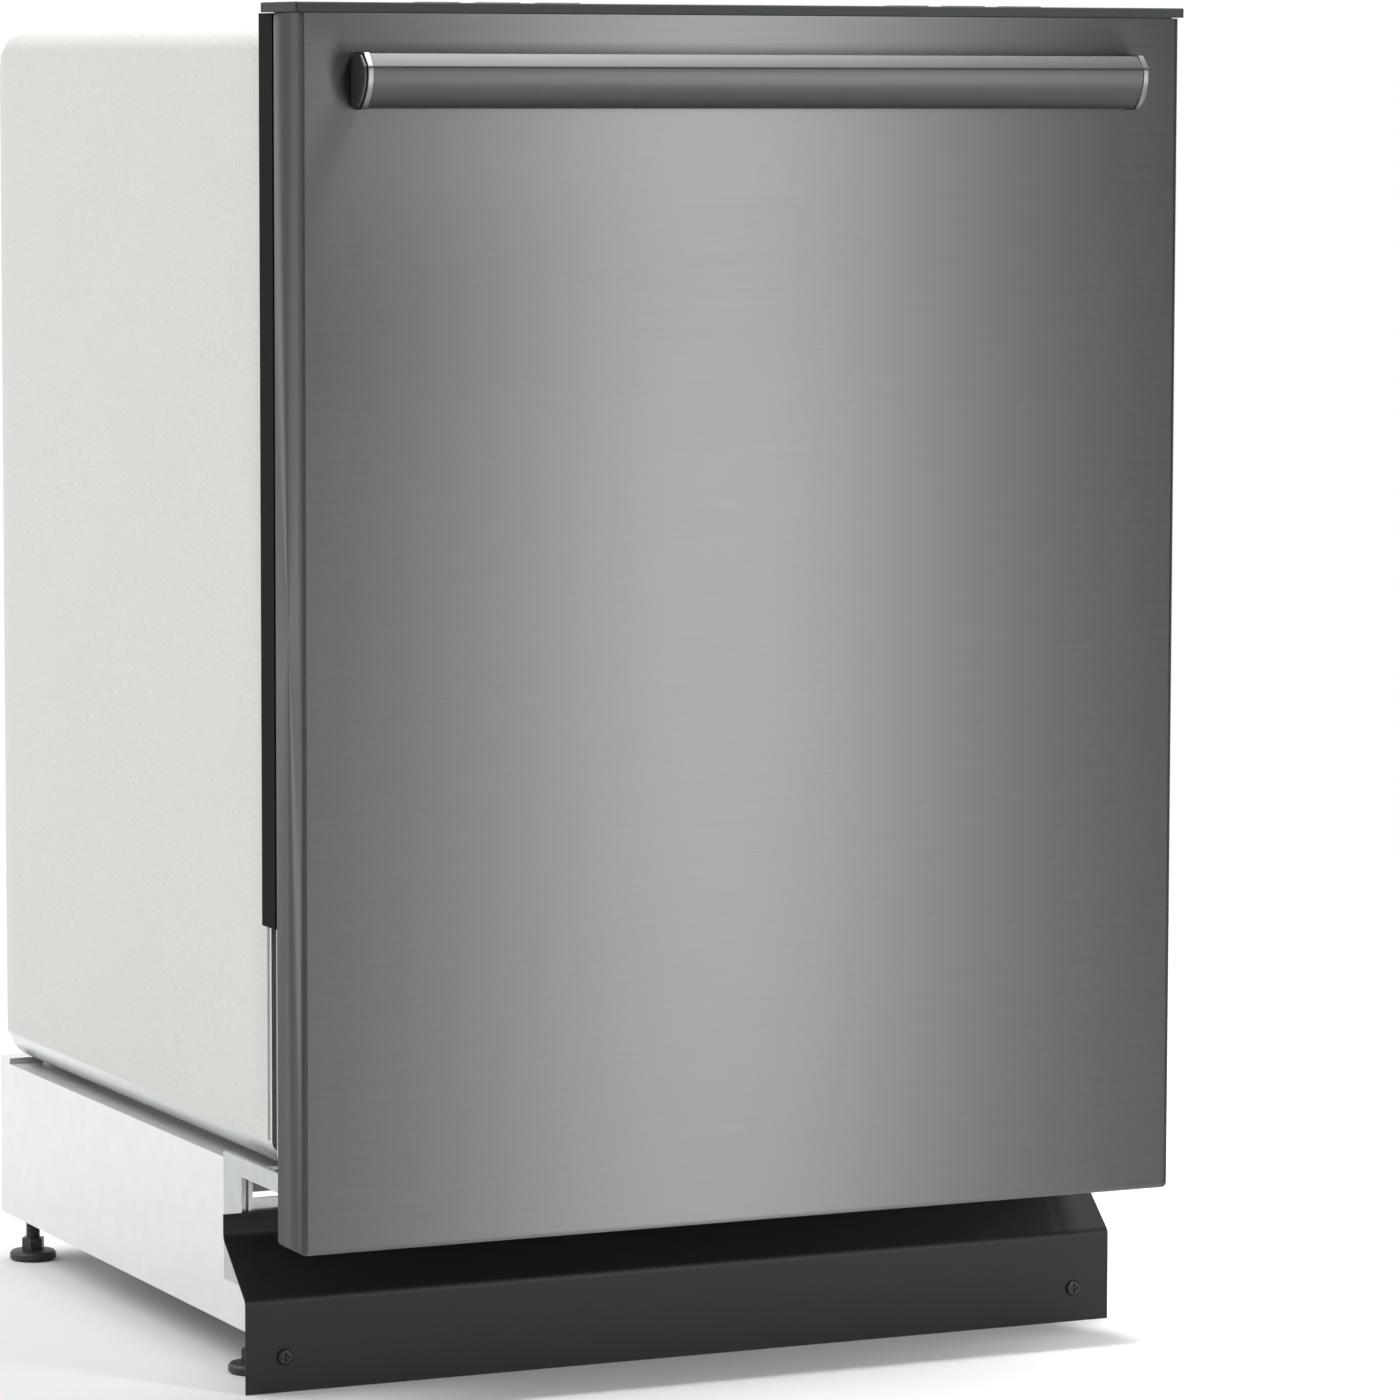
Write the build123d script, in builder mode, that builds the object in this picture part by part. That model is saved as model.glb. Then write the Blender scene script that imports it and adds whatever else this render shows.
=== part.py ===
from build123d import *
import os

# Built-in dishwasher, in millimetres. X is to the right seen from the front, the door faces -Y
# and +Z is up. The origin is on the floor, under the middle of the overall box.

# ---- overall sizes -------------------------------------------------------------------------
width = 610.0             # the toe kick is the widest piece
height = 864.0            # floor to the button tops
depth = 635.0             # handle front to the rear of the base

# ---- door ----------------------------------------------------------------------------------
door_side_room = 4.0      # the toe kick reaches this far past the door at each side
door_low = 102.0          # lower edge of the outer panel
handle_reach = 23.0       # handle front ahead of the door front
panel_sheet = 1.2
panel_return = 42.0       # depth of the folded sides
panel_bend = 3.5          # outside radius of the folds
cap_height = 6.0
cap_gap = 0.5             # dark line between the panel and the cap
cap_side_lip = 2.5        # the cap overhangs the panel by this at each side
cap_front_lip = 1.5
cap_back = 58.0
cap_round = 1.2
button_stand = 0.8        # buttons stand this much above the cap
skirt_wall = 2.0
skirt_drop = 19.0
hinge_depth = 45.0        # hinge axis behind the door front
hinge_height = 130.0
liner_sheet = 1.2
liner_front = 44.0
liner_back = 56.0
liner_side_room = 5.0     # door side to the liner's side
liner_low = 122.0
liner_drop = 14.0         # liner top below the button tops
liner_recess = 3.0

# ---- handle --------------------------------------------------------------------------------
handle_end_room = 33.0    # door side to the end of the handle
handle_drop = 31.5        # handle top below the button tops
handle_height = 33.0
handle_top_reach = 15.5
handle_low_reach = 11.0
handle_ridge_drop = 8.0
handle_face = 4.0
handle_wall = 2.4
handle_dome = 1.0
handle_cap = 1.2
handle_trim = 3.6
handle_trim_proud = 0.7

# ---- tub and racks -------------------------------------------------------------------------
tub_gap = 6.0             # door liner to the tub's front flange
tub_side_room = 18.0      # toe kick end to the tub's side
tub_low = 140.0
tub_drop = 16.0           # tub top below the button tops
tub_wall = 2.5
tub_corner = 22.0
tub_rear_room = 20.0      # tub rear wall to the rear of the base
flange_lip = 10.0
flange_rise = 16.0        # lower edge of the flange above the tub's underside
gasket_gap = 0.6
blanket = 5.0
sump_hole = 92.0
wheel_radius = 17.0
wheel_width = 12.0
wheel_room = 19.0         # tub side to the outer face of a wheel
axle_radius = 4.0
running = 0.07            # radial clearance of a turning or sliding fit
clearance = 0.5           # between pieces that move past each other
wire = 4.0
rack_height = 140.0
lower_rack_room = 23.0    # tub side to the side of each rack
upper_rack_room = 25.0
lower_rack_rise = 33.0    # rack floor above the underside of the lower arm
upper_rack_drop = 288.0   # tub top to the upper rack's floor
rack_front_room = 20.0    # liner face to the front of each rack
rack_rear_room = 26.0
slide_height = 44.0
slide_rise = 80.0         # slides above the upper rack's floor
arm_room = 28.65          # arm tip to the nearest tub wall
lower_arm_rise = 29.5     # lower arm above the tub's floor
middle_arm_drop = 36.0    # middle arm below the upper rack's floor
top_arm_drop = 36.0

# ---- base ----------------------------------------------------------------------------------
base_low = 30.0
base_drop = 4.0           # base rails below the tub
base_set_back = 3.0       # base rails behind the toe kick's upper edge
rail_width = 25.0
rail_sheet = 2.5
foot_radius = 16.0
foot_height = 7.0
leg_radius = 5.0
leg_top = 92.0
toe_depth = 88.0          # toe kick face behind the door front
toe_back = 126.0
toe_fold_low = 59.0
toe_fold_high = 93.0
toe_high = 108.0
toe_sheet = 1.2
strip_low = 298.0
strip_sheet = 2.6
screw_shank = 2.0

# ---- worked out from the sizes above ---------------------------------------------------------
door_front = handle_reach + handle_trim_proud - depth / 2
rear = depth / 2
cap_top = height - button_stand
cap_low = cap_top - cap_height
panel_high = cap_low - cap_gap
panel_side = width / 2 - door_side_room
base_front = toe_back + base_set_back
tub_rear = rear - tub_rear_room
tub_front = liner_back + tub_gap
tub_side = width / 2 - tub_side_room
tub_high = height - tub_drop
base_high = tub_low - base_drop
flange_side = tub_side + flange_lip
flange_high = tub_high + flange_lip
flange_low = tub_low + flange_rise
floor_top = tub_low + tub_wall
ceiling = tub_high - tub_wall
tub_inside = tub_side - tub_wall
back_inside = tub_rear - tub_wall
liner_side = panel_side - liner_side_room
liner_high = height - liner_drop
handle_high = height - handle_drop
handle_low = handle_high - handle_height
wheel_outer = tub_side - wheel_room
lower_arm_height = floor_top + lower_arm_rise
lower_rack_low = lower_arm_height + lower_rack_rise
lower_rack_high = lower_rack_low + rack_height
lower_rack_side = tub_side - lower_rack_room
upper_rack_low = tub_high - upper_rack_drop
upper_rack_high = upper_rack_low + rack_height
upper_rack_side = tub_side - upper_rack_room
slide_middle = upper_rack_low + slide_rise
middle_arm_height = upper_rack_low - middle_arm_drop
top_arm_height = tub_high - top_arm_drop
os.makedirs("parts", exist_ok=True)


def behind(distance):
    """Y of a place this far behind the door's front face."""
    return door_front + distance


tub_middle = (behind(tub_front) + tub_rear) / 2
tub_reach = min(tub_side, (tub_rear - behind(tub_front)) / 2)
arm_radius = tub_reach - arm_room
hinge_place = (behind(hinge_depth), hinge_height)


def block(x, y, z, mode=Mode.ADD):
    """Box between the two ends given for each axis."""
    with Locations(((x[0] + x[1]) / 2, (y[0] + y[1]) / 2, (z[0] + z[1]) / 2)):
        Box(x[1] - x[0], y[1] - y[0], z[1] - z[0], mode=mode)


def both_sides(x, y, z, mode=Mode.ADD):
    """The same box at the right and at the left."""
    block(x, y, z, mode)
    block((-x[1], -x[0]), y, z, mode)


def post(x, y, z, radius, mode=Mode.ADD):
    """Upright cylinder from z[0] to z[1]."""
    with Locations((x, y, (z[0] + z[1]) / 2)):
        Cylinder(radius, z[1] - z[0], mode=mode)


def lying(x, y, z, radius, mode=Mode.ADD):
    """Cylinder along X from x[0] to x[1]."""
    with Locations(((x[0] + x[1]) / 2, y, z)):
        Cylinder(radius, x[1] - x[0], rotation=(0, 90, 0), mode=mode)


def facing(x, y, z, radius, mode=Mode.ADD):
    """Cylinder along Y from y[0] to y[1]."""
    with Locations((x, (y[0] + y[1]) / 2, z)):
        Cylinder(radius, y[1] - y[0], rotation=(90, 0, 0), mode=mode)


def save(name, piece):
    """Label a finished piece and write it as its own file."""
    piece.label = name
    export_step(piece, f"parts/{name}.step")


# ---- door skin -----------------------------------------------------------------------------

with BuildPart() as door_outer_panel:
    block((-panel_side, panel_side), (door_front, behind(panel_return)), (door_low, panel_high))
    panel_edges = door_outer_panel.edges()
    fillet(panel_edges.filter_by(Axis.Z).group_by(Axis.Y)[0], panel_bend)
    panel_edges = door_outer_panel.edges().filter_by(Axis.X).group_by(Axis.Z)[0]
    fillet(panel_edges.sort_by(Axis.Y)[0], panel_bend)
    panel_faces = door_outer_panel.faces()
    open_faces = [panel_faces.sort_by(Axis.Y)[-1], panel_faces.sort_by(Axis.Z)[-1]]
    offset(amount=-panel_sheet, openings=open_faces)
save("door_outer_panel", door_outer_panel.part)

# Buttons and the display stand in a row along the top edge of the door.
button_names = ["power", "cycle", "options", "delay", "dry", "start"]
button_pitch = 40.0
button_places = [button_pitch * step for step in (-5, -4, -3, 3, 4, 5)]
button_length = 26.0
button_width = 11.0
button_rim = 1.6
button_row = behind(28.0)
button_gap = 0.35
window_length = 84.0
window_width = 16.0
window_sheet = 1.5
latch_half = 25.0
skirt_side = panel_side - 4.0
skirt_front = 3.0
skirt_back = liner_front - 2.5
skirt_low = cap_low - skirt_drop
latch_front = 20.0        # latch housing behind the door front
window_middle = -50.0
flange_rim = 1.5          # rim under the cap that keeps a button in

with BuildPart() as console_cap:
    cap_side = panel_side + cap_side_lip
    block((-cap_side, cap_side), (behind(-cap_front_lip), behind(cap_back)), (cap_low, cap_top))
    fillet(console_cap.edges().filter_by(Axis.Z), cap_round)
    chamfer(console_cap.faces().sort_by(Axis.Z)[-1].edges(), cap_round / 2)
    block((-skirt_side, skirt_side), (behind(skirt_front), behind(skirt_back)), (skirt_low, cap_low))
    block(
        (skirt_wall - skirt_side, skirt_side - skirt_wall),
        (behind(skirt_front + skirt_wall), behind(skirt_back - skirt_wall)),
        (skirt_low, cap_low),
        Mode.SUBTRACT,
    )
    latch_cut = latch_half + 2.0
    latch_room = (behind(latch_front - 5.0), behind(skirt_back))
    block((-latch_cut, latch_cut), latch_room, (skirt_low, cap_low), Mode.SUBTRACT)
    hole = (button_length + 2 * button_gap, button_width + 2 * button_gap, 4 * cap_height)
    with Locations(*[(x, button_row, cap_low) for x in button_places]):
        Box(*hole, mode=Mode.SUBTRACT)
    with Locations((window_middle, button_row, cap_top - window_sheet / 2)):
        Box(window_length, window_width, window_sheet, mode=Mode.SUBTRACT)
save("console_cap", console_cap.part)

with BuildPart() as display_window:
    with Locations((window_middle, button_row, cap_top - window_sheet / 2)):
        Box(window_length - 0.2, window_width - 0.2, window_sheet)
save("display_window", display_window.part)

for name, x in zip(button_names, button_places):
    with BuildPart() as button:
        half_length = button_length / 2
        half_width = button_width / 2
        rim_x = (x - half_length - button_rim, x + half_length + button_rim)
        rim_y = (button_row - half_width - button_rim, button_row + half_width + button_rim)
        rim_top = cap_low - 0.3
        key_y = (button_row - half_width, button_row + half_width)
        block((x - half_length, x + half_length), key_y, (rim_top, height))
        fillet(button.edges().group_by(Axis.Z)[-1], 0.6)
        block(rim_x, rim_y, (rim_top - flange_rim, rim_top))
    save(f"button_{name}", button.part)


# ---- handle --------------------------------------------------------------------------------

def handle_outline(reach_extra, back):
    """Closed outline of the handle seen from the side; back is True where it reaches the door."""
    top = (behind(-handle_top_reach) - reach_extra, handle_high + reach_extra)
    ridge = (behind(-handle_reach) - reach_extra, handle_high - handle_ridge_drop)
    face_end = (ridge[0], ridge[1] - handle_face)
    low = (behind(-handle_low_reach) - reach_extra, handle_low - reach_extra)
    Line(top, ridge)
    Line(ridge, face_end)
    TangentArc(face_end, low, tangent=(0, -1))
    if back:
        Polyline(low, (door_front, low[1]), (door_front, top[1]), top)
    else:
        Line(low, top)


handle_end = panel_side - handle_end_room - handle_dome
cap_start = handle_end - handle_cap
trim_start = cap_start - handle_trim
end_plane = Plane(origin=(0, 0, 0), x_dir=(0, 1, 0), z_dir=(1, 0, 0))
slot_reach = 8.0          # the bar is open at the back over all but this margin
slot_margin = 14.0

with BuildPart() as handle_bar:
    with BuildSketch(end_plane.offset(-trim_start)) as bar_section:
        with BuildLine():
            handle_outline(0.0, False)
        make_face()
        offset(amount=-handle_wall, mode=Mode.SUBTRACT, kind=Kind.INTERSECTION)
        with Locations((behind(-handle_low_reach) - 1.5, (handle_low + handle_high) / 2)):
            Rectangle(slot_reach, handle_height - slot_margin, mode=Mode.SUBTRACT)
    extrude(amount=2 * trim_start)
save("handle_bar", handle_bar.part)

handle_caps = []
handle_trims = []
for side in (-1, 1):
    with BuildPart() as end_trim:
        with BuildSketch(end_plane.offset(side * trim_start)):
            with BuildLine():
                handle_outline(handle_trim_proud, True)
            make_face()
        extrude(amount=side * handle_trim)
    handle_trims.append(end_trim.part)
    with BuildPart() as end_cap:
        with BuildSketch(end_plane.offset(side * cap_start)):
            with BuildLine():
                handle_outline(-0.6, True)
            make_face()
        extrude(amount=side * (handle_cap + handle_dome))
        dome_edges = end_cap.faces().sort_by(Axis.X)[-1 if side > 0 else 0].edges()
        free_edges = dome_edges.filter_by(lambda edge: edge.center().Y < behind(-1.0))
        chamfer(free_edges, handle_dome, 2 * handle_dome)
    handle_caps.append(end_cap.part)
save("handle_end_trims", Compound(children=handle_trims))
save("handle_end_caps", Compound(children=handle_caps))


# ---- inside the door -----------------------------------------------------------------------

recess_edge = 60.0        # plain border round the liner's pressed field
recess_side = liner_side - recess_edge
recess_low = liner_low + 48.0
recess_high = liner_high - recess_edge
notch_side = tub_side - 1.0   # the liner is narrower than this beside the hinges
notch_high = 155.0
dispenser_left = -100.0
dispenser_right = 62.0
dispenser_low = 438.0
dispenser_high = 562.0
dispenser_back = liner_back + 2.6
dispenser_lip = 6.0       # the flange covers the edge of the liner's hole by this
vent_place = (150.0, liner_high - 200.0)
vent_radius = 34.0
tongue_low = liner_high - 14.0
tongue_sheet = 2.5
tongue_half = 10.0

with BuildPart() as door_liner:
    block((-liner_side, liner_side), (behind(liner_front), behind(liner_back)), (liner_low, liner_high))
    fillet(door_liner.edges().filter_by(Axis.Y).group_by(Axis.Z)[-1], 8.0)
    offset(amount=-liner_sheet, openings=door_liner.faces().sort_by(Axis.Y)[0])
    skin = liner_back - liner_sheet
    block(
        (-recess_side - liner_sheet, recess_side + liner_sheet),
        (behind(skin - liner_recess), behind(skin)),
        (recess_low - liner_sheet, recess_high + liner_sheet),
    )
    block(
        (-recess_side, recess_side),
        (behind(liner_back - liner_recess), behind(liner_back)),
        (recess_low, recess_high),
        Mode.SUBTRACT,
    )
    both_sides(
        (notch_side, liner_side + 1),
        (behind(liner_front - 1), behind(liner_back + 1)),
        (liner_low - 1, notch_high),
        Mode.SUBTRACT,
    )
    block(
        (dispenser_left, dispenser_right),
        (behind(liner_front), behind(liner_back + 1)),
        (dispenser_low, dispenser_high),
        Mode.SUBTRACT,
    )
    through = (behind(liner_front), behind(liner_back + 1))
    facing(vent_place[0], through, vent_place[1], vent_radius, Mode.SUBTRACT)
    block(
        (-tongue_half - 3, tongue_half + 3),
        through,
        (tongue_low - 3, tongue_low + tongue_sheet + 3),
        Mode.SUBTRACT,
    )
save("door_liner", door_liner.part)

mat_depth = 4.0
with BuildPart() as door_insulation:
    mat_front = panel_sheet + 0.1
    mat_edge = panel_side - 20.0
    block(
        (-mat_edge, mat_edge),
        (behind(mat_front), behind(mat_front + mat_depth)),
        (hinge_height, skirt_low - 6),
    )
save("door_insulation", door_insulation.part)

arm_inner = tub_side + 5.0
arm_sheet = 2.5
lobe_radius = 12.0
pin_radius = 4.0
arm_high = 420.0
arm_front = 8.0
arm_back = 40.0

with BuildPart() as hinge_arms:
    with BuildSketch(end_plane.offset(arm_inner)):
        with BuildLine():
            Polyline(
                (behind(arm_front), liner_low),
                (behind(arm_front), arm_high),
                (behind(arm_back), arm_high),
                (behind(arm_back), hinge_height + 2 * lobe_radius),
                (behind(hinge_depth) + lobe_radius, hinge_height),
                (behind(hinge_depth), hinge_height - lobe_radius),
                (behind(arm_front), liner_low),
            )
        make_face()
        with Locations(hinge_place):
            Circle(lobe_radius)
            Circle(pin_radius + running, mode=Mode.SUBTRACT)
    extrude(amount=arm_sheet)
    mirror(about=Plane.YZ)
save("hinge_arms", hinge_arms.part)

cup_x = (dispenser_left + 10, dispenser_left + 80)
cup_z = (dispenser_high - 62, dispenser_high - 8)
cup_deep = 26.0
lid_sheet = 2.0
cap_x = dispenser_right - 38.0
cap_z = dispenser_high - 35.0
cap_radius = 17.0

with BuildPart() as detergent_dispenser:
    block(
        (dispenser_left + 0.3, dispenser_right - 0.3),
        (behind(24.0), behind(liner_back)),
        (dispenser_low + 0.3, dispenser_high - 0.3),
    )
    block(
        (dispenser_left - dispenser_lip, dispenser_right + dispenser_lip),
        (behind(liner_back - liner_recess), behind(dispenser_back)),
        (dispenser_low - dispenser_lip, dispenser_high + dispenser_lip),
    )
    fillet(detergent_dispenser.edges().filter_by(Axis.Y).group_by(SortBy.LENGTH)[0], 2.0)
    block(cup_x, (behind(dispenser_back - cup_deep), behind(dispenser_back)), cup_z, Mode.SUBTRACT)
    cap_seat = (behind(dispenser_back - 9), behind(dispenser_back))
    facing(cap_x, cap_seat, cap_z, cap_radius + clearance, Mode.SUBTRACT)
save("detergent_dispenser", detergent_dispenser.part)

with BuildPart() as detergent_lid:
    lid_front = dispenser_back + clearance
    block(
        (cup_x[0] - 4, cup_x[1] + 4),
        (behind(lid_front), behind(lid_front + lid_sheet)),
        (cup_z[0] - 4, cup_z[1] + 4),
    )
    block(
        (cup_x[0] + 8, cup_x[1] - 8),
        (behind(lid_front + lid_sheet), behind(lid_front + lid_sheet + 2)),
        (cup_z[1] - 12, cup_z[1] - 8),
    )
save("detergent_lid", detergent_lid.part)

with BuildPart() as rinse_aid_cap:
    facing(cap_x, (behind(dispenser_back - 8), behind(dispenser_back + 1)), cap_z, cap_radius)
    grip = (behind(dispenser_back + 1), behind(dispenser_back + 4))
    block((cap_x - 2.5, cap_x + 2.5), grip, (cap_z - cap_radius + 3, cap_z + cap_radius - 3))
save("rinse_aid_cap", rinse_aid_cap.part)

with BuildPart() as door_vent:
    vent_y = (behind(liner_back - 8), behind(liner_back - liner_recess))
    facing(vent_place[0], vent_y, vent_place[1], vent_radius - 0.3)
    facing(vent_place[0], (vent_y[1], vent_y[1] + 2), vent_place[1], vent_radius + 4)
    with Locations(*[(vent_place[0], vent_y[1], vent_place[1] + step * 10) for step in range(-2, 3)]):
        Box(40, 4.5, 4, mode=Mode.SUBTRACT)
save("door_vent", door_vent.part)

latch_y = (behind(latch_front), behind(liner_front - 0.5))
latch_z = (tongue_low - 14, cap_low - 2)
pawl_pin_z = latch_z[1] - 7
latch_wall = 2.5
pawl_pin_y = behind(liner_front - 6)
with BuildPart() as latch_housing:
    block((-latch_half, latch_half), latch_y, latch_z)
    inner = latch_half - latch_wall
    hollow_z = (latch_z[0] + latch_wall, latch_z[1] - 2)
    block((-inner, inner), (latch_y[0] + latch_wall, latch_y[1]), hollow_z, Mode.SUBTRACT)
    lying((1 - latch_half, latch_half - 1), pawl_pin_y, pawl_pin_z, 2.0)
save("latch_housing", latch_housing.part)

with BuildPart() as door_latch:
    lying((-8, 8), pawl_pin_y, pawl_pin_z, 4.5)
    block((-8, 8), (pawl_pin_y - 2.5, pawl_pin_y + 2.5), (tongue_low + tongue_sheet + 0.8, pawl_pin_z))
    lying((-9, 9), pawl_pin_y, pawl_pin_z, 2.0 + running, Mode.SUBTRACT)
save("door_latch", door_latch.part)

with BuildPart() as door_bottom_seal:
    seal_y = (behind(liner_front), behind(liner_back - 2))
    block((3 - notch_side, notch_side - 3), seal_y, (liner_low - 3, liner_low))
save("door_bottom_seal", door_bottom_seal.part)

# ---- tub -----------------------------------------------------------------------------------

spray_hub = 30.0
feed_half = 14.0
feed_depth = 12.0

with BuildPart() as tub:
    block((-tub_side, tub_side), (behind(tub_front), tub_rear), (tub_low, tub_high))
    fillet(tub.edges().filter_by(Axis.Y), tub_corner)
    offset(amount=-tub_wall, openings=tub.faces().sort_by(Axis.Y)[0])
    with BuildSketch(Plane.XZ.offset(-behind(tub_front))):
        flange_middle = (flange_low + flange_high) / 2
        with Locations((0, flange_middle)):
            RectangleRounded(2 * flange_side, flange_high - flange_low, 8.0)
        opening_high = tub_high - tub_wall
        with Locations((0, opening_high - (opening_high - flange_low + 20) / 2)):
            Rectangle(2 * (tub_side - tub_wall), opening_high - flange_low + 20, mode=Mode.SUBTRACT)
    extrude(amount=-tub_wall)
    post(0, tub_middle, (tub_low - 1, tub_low + tub_wall + 1), sump_hole, Mode.SUBTRACT)
save("tub", tub.part)

with BuildPart() as tub_gasket:
    gasket_y = (behind(liner_back + gasket_gap), behind(tub_front))
    block((-liner_side + 1, liner_side - 1), gasket_y, (flange_low + 6, flange_high - 2))
    block((1 - tub_inside, tub_inside - 1), gasket_y, (flange_low, ceiling - 1), Mode.SUBTRACT)
save("tub_gasket", tub_gasket.part)

with BuildPart() as side_trim_strips:
    strip_outer = panel_side
    strip_front = behind(panel_return + 3)
    strip_foot = behind(tub_front + tub_wall + 0.1)
    strip_z = (strip_low, cap_low - cap_gap)
    both_sides((strip_outer - strip_sheet, strip_outer), (strip_front, strip_foot + strip_sheet), strip_z)
    both_sides((tub_side + blanket + 1, strip_outer), (strip_foot, strip_foot + strip_sheet), strip_z)
save("side_trim_strips", side_trim_strips.part)

with BuildPart() as insulation_blanket:
    blanket_y = (behind(tub_front + 26), tub_rear - 4)
    outer_side = tub_side + 0.2 + blanket
    block((-outer_side, outer_side), blanket_y, (tub_low + 20, tub_high + 0.2 + blanket))
    fillet(insulation_blanket.edges().filter_by(Axis.Y).group_by(Axis.Z)[-1], tub_corner + blanket)
    with BuildSketch(Plane.XZ.offset(-blanket_y[0])):
        with Locations((0, (tub_high + 0.2) / 2)):
            Rectangle(2 * (tub_side + 0.2), tub_high + 0.2)
        fillet(vertices().group_by(Axis.Z)[-1], tub_corner)
    extrude(amount=blanket_y[0] - blanket_y[1], mode=Mode.SUBTRACT)
save("insulation_blanket", insulation_blanket.part)

with BuildPart() as latch_strike:
    strike_back = behind(tub_front + 26)
    tongue_z = (tongue_low, tongue_low + tongue_sheet)
    block((-22, 22), (behind(tub_front + 6), strike_back), (ceiling - 2.5, ceiling))
    block((-22, 22), (behind(tub_front + 6), behind(tub_front + 8.5)), (tongue_low, ceiling))
    block((-tongue_half, tongue_half), (pawl_pin_y, behind(tub_front + 8.5)), tongue_z)
save("latch_strike", latch_strike.part)

bracket_spacing = 400.0
bracket_hole = 2.6
bracket_length = 38.0
bracket_high = tub_high + 12.5
with BuildPart() as mounting_brackets:
    for x in (-bracket_spacing / 2, bracket_spacing / 2):
        tab = (x - 14, x + 14)
        start = behind(tub_front + tub_wall + 2)
        block(tab, (start, start + 2), (tub_high, bracket_high))
        block(tab, (start, start + bracket_length), (bracket_high - 2, bracket_high))
        block(tab, (start, start + 18), (tub_high, tub_high + 2))
        hole_y = start + bracket_length - 10
        post(x, hole_y, (bracket_high - 3, bracket_high + 1), bracket_hole, Mode.SUBTRACT)
save("mounting_brackets", mounting_brackets.part)

with BuildPart() as feed_tube:
    tube_y = (back_inside - feed_depth, back_inside)
    block((-feed_half, feed_half), tube_y, (floor_top + 12, ceiling))
    block((-feed_half, feed_half), (tub_middle - feed_half, back_inside), (ceiling - feed_depth, ceiling))
    fillet(feed_tube.edges().filter_by(Axis.Z).group_by(Axis.Y)[0], 5.0)
    post(0, tub_middle, (top_arm_height + 8, ceiling), 11.0)
    post(0, tub_middle, (top_arm_height - 7, top_arm_height + 8), 4.0)
    facing(0, (tube_y[0] - 5, tube_y[0]), middle_arm_height - 14, 9.0)
save("feed_tube", feed_tube.part)

element_radius = tub_reach - 59.65
element_tube = 4.0
element_opening = 20.0     # degrees between the two ends of the loop
element_height = floor_top + 12
with BuildPart() as heating_element:
    element_place = (0, tub_middle, element_height)
    with BuildSketch(Plane(origin=element_place, x_dir=(1, 0, 0), z_dir=(0, 1, 0))):
        with Locations((element_radius, 0)):
            Circle(element_tube)
    element_axis = Axis((0, tub_middle, 0), (0, 0, 1))
    revolve(axis=element_axis, revolution_arc=360 - element_opening)
    for angle in (0, 360 - element_opening):
        spot = Vector(element_radius, 0, 0).rotate(Axis.Z, angle)
        post(spot.X, tub_middle + spot.Y, (floor_top, element_height + element_tube), element_tube + 1)
save("heating_element", heating_element.part)

float_x = 65.0 - tub_side
float_y = behind(tub_front + 44)
float_radius = 20.0
with BuildPart() as overflow_float:
    post(float_x, float_y, (floor_top + 3, floor_top + 26), float_radius)
    fillet(overflow_float.edges().group_by(Axis.Z)[-1], 6.0)
    post(float_x, float_y, (floor_top + 2, floor_top + 20), float_radius - 3, Mode.SUBTRACT)
save("overflow_float", overflow_float.part)

# ---- sump, filter and pumps ----------------------------------------------------------------

sump_low = tub_low - 74.0
hub_radius = 17.0

with BuildPart() as sump:
    post(0, tub_middle, (sump_low, tub_low), sump_hole + 6)
    fillet(sump.edges().group_by(Axis.Z)[0], 14.0)
    post(0, tub_middle, (sump_low + 4, tub_low + 1), sump_hole - 2, Mode.SUBTRACT)
    post(0, tub_middle, (sump_low + 2, lower_arm_height - 3), hub_radius)
    post(0, tub_middle, (lower_arm_height - 3, lower_arm_height + 14), 6.0)
save("sump", sump.part)

filter_x = 52.0
filter_radius = 28.0
with BuildPart() as filter_plate:
    post(0, tub_middle, (tub_low, floor_top), sump_hole - 2.3)
    post(0, tub_middle, (tub_low - 1, floor_top + 1), hub_radius + clearance, Mode.SUBTRACT)
    post(filter_x, tub_middle, (tub_low - 1, floor_top + 1), filter_radius + running, Mode.SUBTRACT)
save("filter_plate", filter_plate.part)

with BuildPart() as filter_cup:
    post(filter_x, tub_middle, (sump_low + 14, floor_top + 2), filter_radius)
    post(filter_x, tub_middle, (sump_low + 16, floor_top + 3), filter_radius - 2.5, Mode.SUBTRACT)
    grip_x = (filter_x - filter_radius + 2, filter_x + filter_radius - 2)
    block(grip_x, (tub_middle - 2, tub_middle + 2), (floor_top - 8, floor_top + 12))
save("filter_cup", filter_cup.part)

pump_high = sump_low + 32.0
with BuildPart() as wash_pump:
    pump_y = tub_middle - 20
    lying((sump_hole + 6, sump_hole + 38), pump_y, pump_high, 34.0)
    lying((sump_hole + 38, sump_hole + 128), pump_y, pump_high, 27.0)
    chamfer(wash_pump.edges().sort_by(Axis.X)[-1], 4.0)
save("wash_pump", wash_pump.part)

with BuildPart() as drain_pump:
    drain_y = tub_middle + 30
    lying((-sump_hole - 34, -sump_hole - 6), drain_y, pump_high - 6, 24.0)
    lying((-sump_hole - 84, -sump_hole - 34), drain_y, pump_high - 6, 19.0)
save("drain_pump", drain_pump.part)

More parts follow.
